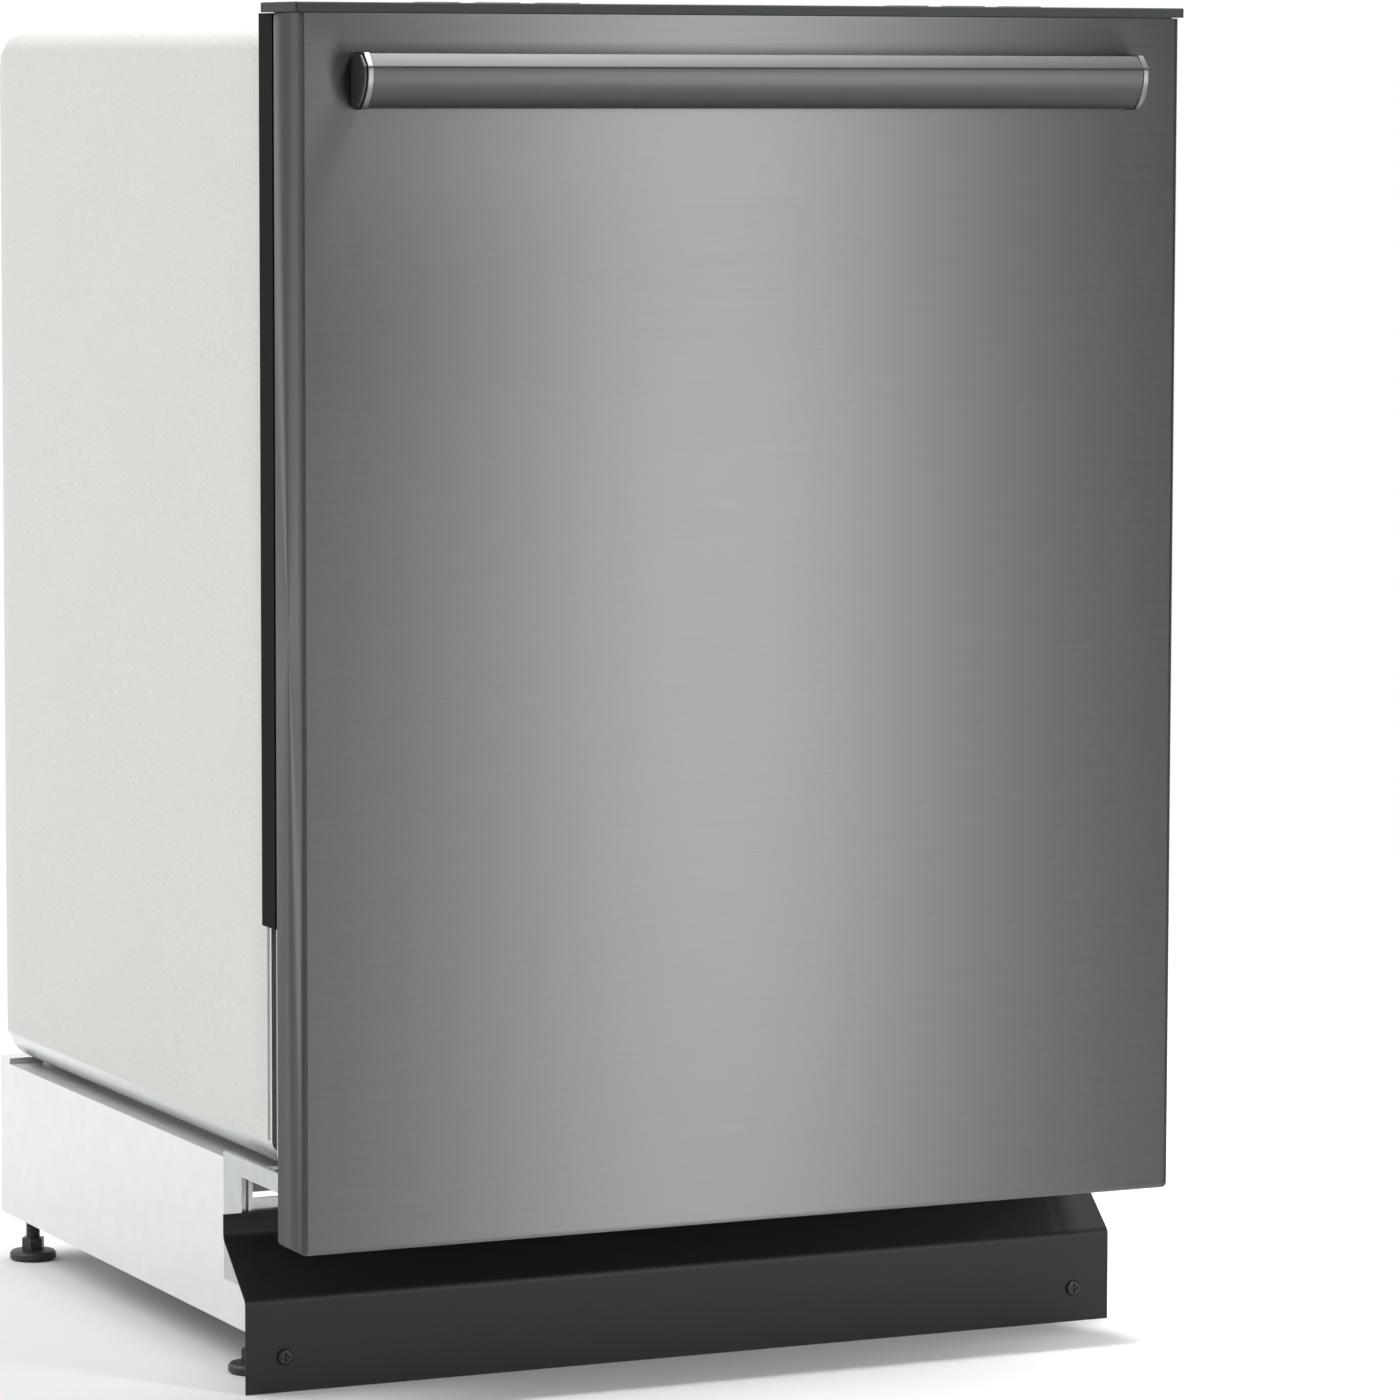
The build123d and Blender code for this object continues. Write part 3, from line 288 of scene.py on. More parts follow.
# Dark stainless rubbed across the door: lights stretch into upright bands.
door_steel = brushed_steel(
    "black_stainless_brushed", "#5b5d5c", "#6b6c6b", 0.49, (40, 0.4, 0.4), anisotropy=0.975)
# The handle is rubbed along its length and reads a shade darker than the door.
handle_steel = brushed_steel(
    "handle_extrusion_brushed", "#464847", "#4d4f4e", 0.46, (50, 0.5, 0.5))
# Satin chrome gives the two thin bright rims at the handle's ends.
chrome = brushed_steel("satin_chromed_zinc", "#6f7172", "#7a7c7d", 0.34, (3, 3, 3), bump=0.01)
# Pale steels: the tub and liner show a soft gloss, the zinc sheets a flat grey.
bright_steel = brushed_steel("tub_stainless_satin", "#c4c6c7", "#d2d4d5", 0.28, (0.6, 0.6, 40), bump=0.03)
liner_steel = brushed_steel("liner_stainless_satin", "#c0c2c3", "#cecfd0", 0.30, (40, 0.6, 0.6), bump=0.03)
base_steel = brushed_steel("galvanised_base_bright", "#dfe1e2", "#eceded", 0.5, (14, 14, 14), bump=0.02)
zinc_steel = brushed_steel("galvanised_sheet", "#b3b6b8", "#cdd0d1", 0.42, (14, 14, 14), bump=0.02)
slide_steel = brushed_steel("rolled_stainless_slides", "#b9bbbc", "#c7c9ca", 0.25, (0.5, 30, 0.5), bump=0.02)
# Heat-browned sheath, oiled wire and yellow brass: small spots of another tone.
hot_steel = brushed_steel("heater_sheath", "#6f6459", "#8a8078", 0.35, (6, 6, 6), bump=0.02)
spring_steel = brushed_steel("oiled_spring_wire", "#6e6f70", "#858687", 0.30, (4, 4, 4), bump=0.02)
brass = brushed_steel("cast_brass", "#b4924e", "#c9a965", 0.33, (3, 3, 3), bump=0.05)
# Near-black mouldings: the console, end caps, window, rubbers and mat soak up the light.
cap_plastic = moulded("console_abs_graphite", "#2e3131", 0.55, specular=0.3)
end_plastic = moulded("end_cap_abs_black", "#2f3131", 0.40)
button_plastic = moulded("button_abs_grey", "#5d6060", 0.33, grain=0.6)
window_plastic = moulded("smoked_acrylic", "#0b0c0e", 0.07, grain=5, bump=0.0)
black_rubber = moulded("trim_rubber_black", "#0c0c0d", 0.7, grain=1.2, specular=0.1)
gasket_rubber = moulded("gasket_rubber_grey", "#3a3b3c", 0.6, grain=1.2)
sound_mat = moulded("asphalt_mat", "#1f1f20", 0.8, grain=3.0, bump=0.4)
# Powder coat and black oxide: the darkest pieces, with a faint even sheen.
toe_paint = moulded("toe_kick_powder_coat", "#111212", 0.5, grain=1.0, bump=0.10, specular=0.3)
screw_black = moulded("black_oxide_screw", "#0e0e0f", 0.4, grain=0.8, specular=0.4)
# Greys of the inside: smooth coated wire and semi-gloss plastics, one blue cap among them.
rack_nylon = moulded("nylon_coated_wire", "#8d9094", 0.35, grain=1.5, bump=0.05)
shelf_plastic = moulded("basket_polypropylene", "#74777b", 0.42)
wheel_plastic = moulded("wheel_acetal", "#7a7c80", 0.38)
arm_plastic = moulded("spray_arm_polypropylene", "#8b8e91", 0.38)
dispenser_plastic = moulded("dispenser_polypropylene", "#a3a6a9", 0.36)
blue_plastic = moulded("rinse_cap_blue", "#2d4f86", 0.35)
dark_plastic = moulded("sump_polypropylene", "#2c2d2f", 0.5)
hose_plastic = moulded("hose_polypropylene_grey", "#5b5d60", 0.45)
foot_plastic = moulded("foot_nylon", "#2d2e30", 0.45)
# Pale felt: a matt, slightly fluffy wrap.
blanket_felt = felt("insulation_felt_white", "#dddcd8")

node_finish = {
    "door_outer_panel": door_steel, "handle_bar": handle_steel, "console_cap": cap_plastic,
    "display_window": window_plastic, "handle_end_trims": chrome, "handle_end_caps": end_plastic,
    "door_liner": liner_steel, "door_insulation": sound_mat, "hinge_arms": zinc_steel,
    "hinge_brackets": zinc_steel, "mounting_brackets": zinc_steel, "base_frame": base_steel,
    "junction_box": zinc_steel, "detergent_dispenser": dispenser_plastic, "detergent_lid": dispenser_plastic,
    "door_vent": dispenser_plastic, "rinse_aid_cap": blue_plastic, "latch_housing": dark_plastic,
    "door_latch": zinc_steel, "latch_strike": zinc_steel, "door_bottom_seal": gasket_rubber,
    "tub_gasket": gasket_rubber, "side_trim_strips": black_rubber, "tub": bright_steel,
    "insulation_blanket": blanket_felt, "lower_spray_arm": arm_plastic, "middle_spray_arm": arm_plastic,
    "top_spray_arm": arm_plastic, "feed_tube": arm_plastic, "overflow_float": arm_plastic,
    "filter_cup": arm_plastic, "heating_element": hot_steel, "filter_plate": bright_steel,
    "sump": dark_plastic, "wash_pump": dark_plastic, "drain_pump": dark_plastic, "drain_hose": hose_plastic,
    "inlet_valve": brass, "toe_kick": toe_paint, "toe_kick_screws": screw_black, "door_springs": spring_steel,
    "lower_rack": rack_nylon, "upper_rack": rack_nylon, "cup_shelf": shelf_plastic,
    "silverware_basket": shelf_plastic,
    "lower_wheels_front": wheel_plastic, "lower_wheels_rear": wheel_plastic,
    "rack_tracks": slide_steel, "rack_slides": slide_steel, "rack_runners": slide_steel,
}
for name in nodes:
    finish = node_finish.get(name)
    if name.startswith("button_"):
        finish = button_plastic
    if name.startswith("leg_"):
        finish = foot_plastic
    nodes[name].data.materials.clear()
    nodes[name].data.materials.append(finish)


# ---- shapes shared by several pieces ---------------------------------------------------------

def resample(path, step):
    """Points every step metres along a polyline, found by its arc length."""
    path = np.asarray(path, float)
    length = np.concatenate([[0], np.cumsum(np.linalg.norm(np.diff(path, axis=0), axis=1))])
    places = np.linspace(0, length[-1], max(3, int(round(length[-1] / step)) + 1))
    return np.stack([np.interp(places, length, path[:, k]) for k in range(3)], 1), places


def lathe(profile, centre, axis=2, sides=32):
    """Solid of revolution: each (radius, distance along the axis) point of an open profile that
    starts and ends on the axis becomes a ring; the two end points close it."""
    profile = np.asarray(profile, float)
    angle = np.linspace(0, 2 * math.pi, sides, endpoint=False)
    first, second = [(1, 2), (2, 0), (0, 1)][axis]
    rings = np.zeros((len(profile) - 2, sides, 3))
    rings[..., first] = profile[1:-1, 0, None] * np.cos(angle)
    rings[..., second] = profile[1:-1, 0, None] * np.sin(angle)
    rings[..., axis] = profile[1:-1, 1, None]
    points = rings.reshape(-1, 3)
    ends = np.zeros((2, 3))
    ends[0, axis], ends[1, axis] = profile[0, 1], profile[-1, 1]
    faces = grid_faces(len(profile) - 2, sides, closed_columns=True)
    count = len(points)
    last = count - sides
    faces += [[count, (i + 1) % sides, i] for i in range(sides)]
    faces += [[count + 1, last + i, last + (i + 1) % sides] for i in range(sides)]
    return np.concatenate([points, ends]) + np.asarray(centre, float), faces


def bar(low, high):
    """Rectangular bar between two opposite corners."""
    x, y, z = zip(low, high)
    points = [(x[i], y[j], z[k]) for i in (0, 1) for j in (0, 1) for k in (0, 1)]
    faces = [(0, 1, 3, 2), (4, 6, 7, 5), (0, 4, 5, 1), (2, 3, 7, 6), (0, 2, 6, 4), (1, 5, 7, 3)]
    return np.array(points), faces


def spaced(low, high, count):
    """Evenly spaced numbers with both ends."""
    return np.linspace(low, high, count)


# ---- handle --------------------------------------------------------------------------------

door_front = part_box("door_outer_panel")[0].y
handle_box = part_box("handle_bar")
ridge_drop, face_height = 8.0 * MM, 4.0 * MM
top_reach, ridge_reach, low_reach = 15.5 * MM, 23.0 * MM, 11.0 * MM


def handle_outline(grow, back, arc_steps=24):
    """Section of the handle: a slanted facet, a narrow upright face and an arc that leaves the
    face at a tangent and ends at the lower edge. back is the Y of the line that closes it."""
    low, high = handle_box[0].z - grow, handle_box[1].z + grow
    ridge = np.array([door_front - ridge_reach - grow, handle_box[1].z - ridge_drop])
    face_end = ridge - [0, face_height]
    end = np.array([door_front - low_reach - grow, low])
    reach, fall = end[0] - face_end[0], face_end[1] - end[1]
    radius = (reach ** 2 + fall ** 2) / (2 * reach)
    turn = math.asin(fall / radius)
    t = np.linspace(0, turn, arc_steps)
    arc = np.stack([face_end[0] + radius * (1 - np.cos(t)), face_end[1] - radius * np.sin(t)], 1)
    top = np.array([door_front - top_reach - grow, high])
    soft = 0.9 * MM
    toward_top = (top - ridge) / np.linalg.norm(top - ridge)
    bend = [ridge + toward_top * soft, ridge + toward_top * soft * 0.35 - [0, soft * 0.25], ridge - [0, soft]]
    return np.array([[back, low], [back, high], top, *bend, *arc])


def make_handle():
    """Closed bar, thin bright end trims and flat dark end caps."""
    half = handle_box[1].x
    bar_points, bar_faces = extrusion(handle_outline(0.0, door_front - low_reach), -half, half)
    outward(mesh_piece(
        "handle_bar_skin", bar_points, bar_faces, handle_steel, "door", ["handle_bar"], "handle_metal", 25))
    trim_box, cap_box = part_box("handle_end_trims"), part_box("handle_end_caps")
    parts = []
    for side in (-1, 1):
        outline = handle_outline(0.7 * MM, door_front - 0.1 * MM)
        parts.append(extrusion(outline, side * half, side * trim_box[1].x))
    trims = mesh_piece(
        "handle_trim_skin", *join_parts(parts), chrome, "door", ["handle_end_trims"], "handle_chrome", 25)
    rounded_edges(outward(trims), 0.35 * MM, 2)
    parts = []
    for side in (-1, 1):
        outline = handle_outline(-0.6 * MM, door_front - 0.1 * MM)
        parts.append(extrusion(outline, side * trim_box[1].x, side * cap_box[1].x))
    caps = mesh_piece(
        "handle_cap_skin", *join_parts(parts), end_plastic, "door", ["handle_end_caps"],
        "end_cap_plastic", 40)
    rounded_edges(outward(caps), 0.8 * MM, 3)


# ---- toe kick ------------------------------------------------------------------------------

def make_toe_kick():
    """Folded plate: upright face, backward slope and a short upright lip, with bends of 7 mm."""
    low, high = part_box("toe_kick")
    front, back, sheet = low.y, high.y, 1.2 * MM
    corners = [(0, front, 0), (0, front, 59 * MM), (0, back - sheet, 93 * MM), (0, back - sheet, high.z)]
    outer = rounded_path(corners, 7 * MM, steps=9)[:, 1:]
    along = np.gradient(outer, axis=0)
    along /= np.linalg.norm(along, axis=1)[:, None]
    inner = outer + np.stack([along[:, 1], -along[:, 0]], 1) * sheet
    profile = np.concatenate([outer, inner[::-1]])
    outward(mesh_piece(
        "toe_kick_skin", *extrusion(profile, low.x, high.x), toe_paint, "machine", ["toe_kick"],
        "toe_paint", 30))


# ---- blanket -------------------------------------------------------------------------------

def make_blanket():
    """Felt over the tub: the outline of its section runs up one side, over the top and down the
    other; the outer skin is raised by a product of slow sines, and both hems are pressed thin."""
    low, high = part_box("insulation_blanket")
    corner = 27 * MM
    thick = 5 * MM
    route = [(low.x, 0, low.z), (low.x, 0, high.z), (high.x, 0, high.z), (high.x, 0, low.z)]
    outer = rounded_path(route, corner, steps=9)
    outer, run = resample(outer, 12 * MM)
    along = np.gradient(outer, axis=0)
    along /= np.linalg.norm(along, axis=1)[:, None]
    normal = np.stack([-along[:, 2], 0 * run, along[:, 0]], 1)
    columns = spaced(low.y, high.y, 46)
    edge_run = np.minimum(run, run[-1] - run)[:, None]
    edge_y = np.minimum(columns - low.y, high.y - columns)[None, :]
    hem = np.clip(np.minimum(edge_run, edge_y) / (14 * MM), 0, 1)
    waves = np.sin(run / 0.052)[:, None] * np.sin(columns / 0.043)[None, :]
    waves = waves + 0.5 * np.sin(run / 0.021 + 1.0)[:, None] * np.sin(columns / 0.027 + 0.6)[None, :]
    drop = 2.4 * MM * (1 - hem ** 0.5) + 0.7 * MM * hem * (1 - waves / 1.5)
    outside = outer[:, None] - normal[:, None] * drop[..., None]
    inside = np.repeat((outer - normal * (thick - 0.2 * MM))[:, None], len(columns), 1)
    outside[..., 1] = inside[..., 1] = columns
    loop = np.concatenate([outside, inside[::-1]], 0)
    rows, count = loop.shape[:2]
    faces = grid_faces(rows, count, closed_rows=True)
    half = rows // 2
    for end in (0, count - 1):
        for i in range(half - 1):
            j = rows - 1 - i
            faces.append([i * count + end, (i + 1) * count + end, (j - 1) * count + end, j * count + end])
    piece = mesh_piece(
        "blanket_felt_skin", loop, faces, blanket_felt, "machine", ["insulation_blanket"],
        "blanket_felt", 60)
    outward(piece)


# ---- racks ---------------------------------------------------------------------------------

def wire_rack(half, low, high, front, back, across, along, loops):
    """Round-wire basket: U-shaped wires both ways, closed loops round the sides."""
    r = 2.0 * MM
    parts = []
    for x in spaced(-half + 24 * MM, half - 24 * MM, along):
        path = [(x, front + r, high - 4 * r), (x, front + r, low + r),
                (x, back - r, low + r), (x, back - r, high - 4 * r)]
        parts.append(tube(rounded_path(path, 9 * MM), r * 0.8, 7))
    for y in spaced(front + 24 * MM, back - 24 * MM, across):
        level = low + 2.6 * r
        path = [(r - half, y, high - 4 * r), (r - half, y, level),
                (half - r, y, level), (half - r, y, high - 4 * r)]
        parts.append(tube(rounded_path(path, 9 * MM), r * 0.8, 7))
    for z, size in loops:
        path = [(r - half, front + r, z), (half - r, front + r, z),
                (half - r, back - r, z), (r - half, back - r, z)]
        parts.append(tube(rounded_path(path, 16 * MM, closed=True, steps=8), size, 10, closed=True))
    return parts


def tines(places, low, height, lean=0.0):
    """Plate tines: hairpin wires, bent over at the top, leaning back a little."""
    parts = []
    for x, y in places:
        gap = 7 * MM
        path = [(x - gap, y, low), (x - gap, y + lean, low + height),
                (x + gap, y + lean, low + height), (x + gap, y, low)]
        parts.append(tube(rounded_path(path, 5.5 * MM), 1.5 * MM, 6))
    return parts


def make_lower_rack():
    """Lower rack with hairpin tines and wheel hangers."""
    low_corner, high_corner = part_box("lower_rack")
    half = high_corner.x - 5.5 * MM
    high, front, back = high_corner.z, low_corner.y, high_corner.y
    low = high - 140 * MM
    r = 2 * MM
    loops = [(high - r, 2.6 * MM), (high - 38 * MM, r * 0.85), (low + 52 * MM, r * 0.85), (low + r, r * 0.85)]
    parts = wire_rack(half, low, high, front, back, 11, 13, loops)
    columns = spaced(-half + 30 * MM, half - 150 * MM, 12)
    rows = spaced(front + 90 * MM, back - 60 * MM, 4)
    parts += tines([(x, y) for x in columns for y in rows], low + r, 74 * MM, 5 * MM)
    for y in rows:
        ends = [(columns[0] - 12 * MM, y, low + 5 * r / 2), (columns[-1] + 12 * MM, y, low + 5 * r / 2)]
        parts.append(tube(ends, r * 0.9, 7))
    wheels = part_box("lower_wheels_front"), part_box("lower_wheels_rear")
    for wheel_low, wheel_high in wheels:
        y, z = (wheel_low.y + wheel_high.y) / 2, (wheel_low.z + wheel_high.z) / 2
        for side in (-1, 1):
            x = side * (wheel_high.x - 17 * MM)
            outline = [(y - 9 * MM, low + 3 * MM), (y - 7 * MM, z - 4 * MM), (y, z - 7 * MM),
                       (y + 7 * MM, z - 4 * MM), (y + 9 * MM, low + 3 * MM)]
            parts.append(extrusion(outline, x - 1.8 * MM, x + 1.8 * MM))
            outer = side * (wheel_high.x + 1.4 * MM)
            inner = side * (wheel_high.x - 18 * MM)
            parts.append(tube([(inner, y, z), (outer, y, z)], 3.9 * MM, 16))
    outward(mesh_piece(
        "lower_rack_wires", *join_parts(parts), rack_nylon, "lower_rack", ["lower_rack"], "rack_vinyl", 50))


def make_upper_rack():
    """Upper rack with two rows of tines, runner lugs and the middle arm's hub and pin."""
    low_corner, high_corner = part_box("upper_rack")
    high, front, back = high_corner.z, low_corner.y, high_corner.y
    low, half = high - 140 * MM, 262 * MM
    r = 2 * MM
    loops = [(high - r, 2.6 * MM), (high - 42 * MM, r * 0.85), (low + 50 * MM, r * 0.85), (low + r, r * 0.85)]
    parts = wire_rack(half, low, high, front, back, 11, 13, loops)
    columns = spaced(-45 * MM, 105 * MM, 3)
    places = [(x, y) for x in columns for y in spaced(front + 60 * MM, back - 60 * MM, 9)]
    parts += tines(places, low + r, 62 * MM)
    for x in columns:
        ends = [(x, front + 40 * MM, low + 6 * r / 2), (x, back - 40 * MM, low + 3 * r)]
        parts.append(tube(ends, r * 0.9, 7))
    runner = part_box("rack_runners")
    middle = (runner[0].z + runner[1].z) / 2
    rows = spaced(front + r, back - r, 9)
    for y in (rows[1], rows[7]):
        for side in (-1, 1):
            corners = sorted((side * (half - 1 * MM), side * (runner[1].x - 4.2 * MM)))
            lug_low = (corners[0], y - 12 * MM, middle - 10 * MM)
            lug_high = (corners[1], y + 12 * MM, middle + 10 * MM)
            parts.append(bar(lug_low, lug_high))
    arm_low, arm_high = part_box("middle_spray_arm")
    y = (arm_low.y + arm_high.y) / 2
    z = arm_low.z
    hub = [(0, z - 9 * MM), (12 * MM, z - 9 * MM), (12 * MM, z - 3 * MM), (5 * MM, z - 3 * MM),
           (5 * MM, z + 13 * MM), (13 * MM, z + 13 * MM), (13 * MM, low + 1 * MM), (0, low + 1 * MM)]
    parts.append(lathe(hub, (0, y, 0)))
    outward(mesh_piece(
        "upper_rack_wires", *join_parts(parts), rack_nylon, "upper_rack", ["upper_rack"], "rack_vinyl", 50))


def make_basket():
    """Silverware basket: slatted walls between solid bands, four cells and a carrying bar."""
    low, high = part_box("silverware_basket")
    top = high.z - 45 * MM
    wall = 2.4 * MM
    parts = []
    cell_walls = spaced(low.y, high.y - wall, 5)
    for z, tall in ((low.z, 3), (low.z + 38 * MM, 3), (low.z + 76 * MM, 3), (top - 9 * MM, 9)):
        for x in (low.x, high.x - wall):
            parts.append(bar((x, low.y, z), (x + wall, high.y, z + tall * MM)))
        for y in cell_walls:
            parts.append(bar((low.x, y, z), (high.x, y + wall, z + tall * MM)))
    for y in spaced(low.y, high.y - 2.6 * MM, 34):
        for x in (low.x + 0.2 * MM, high.x - wall + 0.2 * MM):
            parts.append(bar((x, y, low.z), (x + wall - 0.4 * MM, y + 2.6 * MM, top)))
    for x in spaced(low.x, high.x - 2.6 * MM, 12):
        parts.append(bar((x, low.y, low.z), (x + 2.6 * MM, high.y, low.z + wall)))
        for y in cell_walls:
            parts.append(bar((x, y + 0.2 * MM, low.z), (x + 2.6 * MM, y + wall - 0.2 * MM, top)))
    for y in spaced(low.y, high.y - 2.6 * MM, 30):
        parts.append(bar((low.x, y, low.z + 0.3 * MM), (high.x, y + 2.6 * MM, low.z + wall - 0.3 * MM)))
    x, y = (low.x + high.x) / 2, (low.y + high.y) / 2
    grip = [(x, y - 55 * MM, top - 38 * MM), (x, y - 55 * MM, high.z - 4 * MM),
            (x, y + 55 * MM, high.z - 4 * MM), (x, y + 55 * MM, top - 38 * MM)]
    parts.append(tube(rounded_path(grip, 12 * MM, steps=7), 4 * MM, 12))
    outward(mesh_piece(
        "basket_lattice", *join_parts(parts), shelf_plastic, "silverware_basket", ["silverware_basket"],
        "shelf_plastic", 40))


def rounded_section(radius, swell, half, round_power, flat_power):
    """Section of a ring: a superellipse about the radius, swell wide outwards and half tall."""
    t = np.linspace(0, 2 * math.pi, 20, endpoint=False)
    co, si = np.cos(t), np.sin(t)
    across = radius + swell * np.sign(co) * np.abs(co) ** round_power
    return np.stack([across, half * np.sign(si) * np.abs(si) ** flat_power], 1)


def make_wheels():
    """Wheels with a rounded tread, a hub and six spokes."""
    for name in ("front", "rear"):
        low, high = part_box(f"lower_wheels_{name}")
        y, z = (low.y + high.y) / 2, (low.z + high.z) / 2
        r, wide = (high.z - low.z) / 2, 12 * MM
        parts = []
        for side in (-1, 1):
            x = side * (high.x - wide / 2)
            h = wide / 2
            rim = rounded_section(r - 2.2 * MM, 2.2 * MM, h, 0.6, 0.35)
            hub = rounded_section(5.6 * MM, 1.5 * MM, h, 0.5, 0.4)
            for ring in (rim, hub):
                angle = np.linspace(0, 2 * math.pi, 48, endpoint=False)
                points = np.zeros((48, len(ring), 3))
                points[..., 0] = x + ring[:, 1]
                points[..., 1] = y + np.cos(angle)[:, None] * ring[:, 0]
                points[..., 2] = z + np.sin(angle)[:, None] * ring[:, 0]
                parts.append((points, grid_faces(48, len(ring), True, True)))
            web = [(6.4 * MM, -1 * MM), (r - 3.4 * MM, -1 * MM), (r - 3.4 * MM, 1 * MM), (6.4 * MM, 1 * MM)]
            for k in range(6):
                a = k * math.pi / 3
                c, s = math.cos(a), math.sin(a)
                outline = [(y + c * u - s * v, z + s * u + c * v) for u, v in web]
                parts.append(extrusion(outline, x - 4 * MM, x + 4 * MM))
        body = f"lower_wheels_{name}"
        outward(mesh_piece(
            f"wheels_{name}_spoked", *join_parts(parts), wheel_plastic, body, [body], "wheel_plastic", 40))


# ---- spray arms ----------------------------------------------------------------------------

def make_arm(name, jets):
    """Hollow-looking arm: sections across it are flattened ovals whose half width falls from hub
    to tip and whose middle bends in an S; a ring stands round each jet."""
    low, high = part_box(name)
    centre_y = (low.y + high.y) / 2
    reach, thick = high.x, high.z - low.z
    middle = (low.z + high.z) / 2
    s = np.sin(np.linspace(-0.5, 0.5, 61) * math.pi)
    blade = 21 * MM * (1 - np.abs(s) ** 10) ** 0.5 * (1 - 0.25 * np.abs(s))
    wide = np.maximum(blade, 28 * MM * np.sqrt(np.clip(1 - (s * reach / (30 * MM)) ** 2, 0, 1))) + 0.4 * MM
    tall = thick / 2 * (1 - 0.35 * s ** 2) * np.clip((1 - np.abs(s) ** 14), 0.05, 1)
    sway = 3.5 * MM * np.sin(math.pi * s) * (1 - 0.3 * s ** 2)
    angle = np.linspace(0, 2 * math.pi, 28, endpoint=False)
    co, si = np.cos(angle), np.sin(angle)
    oval_y = np.sign(co) * np.abs(co) ** 0.8
    oval_z = np.sign(si) * np.abs(si) ** 0.55
    points = np.zeros((len(s), len(angle), 3))
    points[..., 0] = (s * reach)[:, None]
    points[..., 1] = centre_y + sway[:, None] + wide[:, None] * oval_y
    points[..., 2] = middle + tall[:, None] * oval_z
    count = len(angle)
    faces = grid_faces(len(s), count, closed_columns=True)
    faces += [list(range(count)), [(len(s) - 1) * count + i for i in range(count)]]
    parts = [(points, faces)]
    for step in spaced(0.25, 0.88, jets):
        for side in (-1, 1):
            place = side * step
            x = place * reach
            y = centre_y + float(np.interp(place, s, sway)) + side * 4 * MM * math.cos(9 * step)
            top = middle + float(np.interp(place, s, tall)) - 0.6 * MM
            ring = [(0, top - 1 * MM), (4.2 * MM, top - 1 * MM), (4.2 * MM, top + 0.9 * MM),
                    (3.4 * MM, top + 1.2 * MM), (2.4 * MM, top + 0.9 * MM),
                    (1.8 * MM, top - 0.6 * MM), (0, top - 0.6 * MM)]
            parts.append(lathe(ring, (x, y, 0), sides=16))
    hub = [(0, low.z + 1 * MM), (22 * MM, low.z + 1 * MM), (22 * MM, high.z - 0.6 * MM),
           (20 * MM, high.z), (9 * MM, high.z), (0, high.z - 1 * MM)]
    parts.append(lathe(hub, (0, centre_y, 0), sides=40))
    outward(mesh_piece(f"{name}_blades", *join_parts(parts), arm_plastic, name, [name], "arm_plastic", 40))


# ---- hose, springs and feet ------------------------------------------------------------------

def make_hose():
    """Corrugated drain hose: the radius follows a sine along the path, with smooth cuffs."""
    low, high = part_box("drain_hose")
    r = 8 * MM
    x_in, x_out = high.x - r, low.x + r
    y_back, top, bottom = high.y - r, high.z - r, low.z + r
    end_height = 330 * MM
    route = [(x_in, low.y, bottom), (x_in, y_back, bottom), (x_in, y_back, top),
             (x_out, y_back, top), (x_out, y_back, end_height)]
    path, run = resample(rounded_path(route, 24 * MM, steps=12), 1.2 * MM)
    cuff = np.clip(np.minimum(run, run[-1] - run) / (4 * MM) - 7, 0, 1)
    radius = r * (0.93 + 0.06 * cuff * np.sin(2 * math.pi * run / (4.8 * MM)))
    outward(mesh_piece(
        "drain_hose_ribbed", *tube(path, radius, 20), hose_plastic, "machine", ["drain_hose"],
        "hose_plastic", 60))


def make_springs():
    """Two helical door springs with straight hooks to the cross plates."""
    low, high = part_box("door_springs")
    r, wire = 6.6 * MM, 0.85 * MM
    z = (low.z + high.z) / 2
    start, end = 60 * MM, 170 * MM
    parts = []
    coils = 44
    for x in (high.x - 7.5 * MM, low.x + 7.5 * MM):
        t = np.linspace(0, 1, coils * 14)
        ramp = np.clip(np.minimum(t, 1 - t) * 40, 0, 1)
        a = 2 * math.pi * coils * t
        coil = np.stack([x + r * ramp * np.cos(a), start + (end - start) * t, z + r * ramp * np.sin(a)], 1)
        path = np.concatenate([[(x, low.y, z)], coil, [(x, high.y, z)]])
        parts.append(tube(path, wire, 6))
    outward(mesh_piece(
        "door_springs_coiled", *join_parts(parts), spring_steel, "machine", ["door_springs"],
        "spring_steel", 60))


def make_feet():
    """Levelling feet: a stepped pad, a hexagon and a screw whose radius is a helix of sines."""
    for corner in ("front_left", "front_right", "rear_left", "rear_right"):
        low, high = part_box(f"leg_{corner}")
        x, y = (low.x + high.x) / 2, (low.y + high.y) / 2
        pad = [(0, 0), (14.5 * MM, 0), (16 * MM, 1.2 * MM), (16 * MM, 4.6 * MM),
               (14.6 * MM, 6.2 * MM), (9 * MM, 7 * MM), (0, 7 * MM)]
        hexagon = [(x + 8 * MM * math.cos(a), y + 8 * MM * math.sin(a)) for a in np.arange(6) * math.pi / 3]
        z = np.arange(14.5 * MM, high.z, 0.25 * MM)
        angle = np.linspace(0, 2 * math.pi, 20, endpoint=False)
        radius = 4.65 * MM + 0.35 * MM * np.cos(2 * math.pi * z[:, None] / (1.75 * MM) - angle[None])
        points = np.stack([x + radius * np.cos(angle), y + radius * np.sin(angle), z[:, None] + 0 * angle], 2)
        faces = grid_faces(len(z), 20, closed_columns=True)
        faces += [list(range(20)), [(len(z) - 1) * 20 + i for i in range(20)]]
        nut = extrusion(hexagon, 6.8 * MM, 15 * MM, axis=2)
        parts = [lathe(pad, (x, y, 0), sides=40), nut, (points, faces)]
        name = f"leg_{corner}"
        outward(mesh_piece(
            f"{name}_threaded", *join_parts(parts), foot_plastic, name, [name], "foot_plastic", 35))


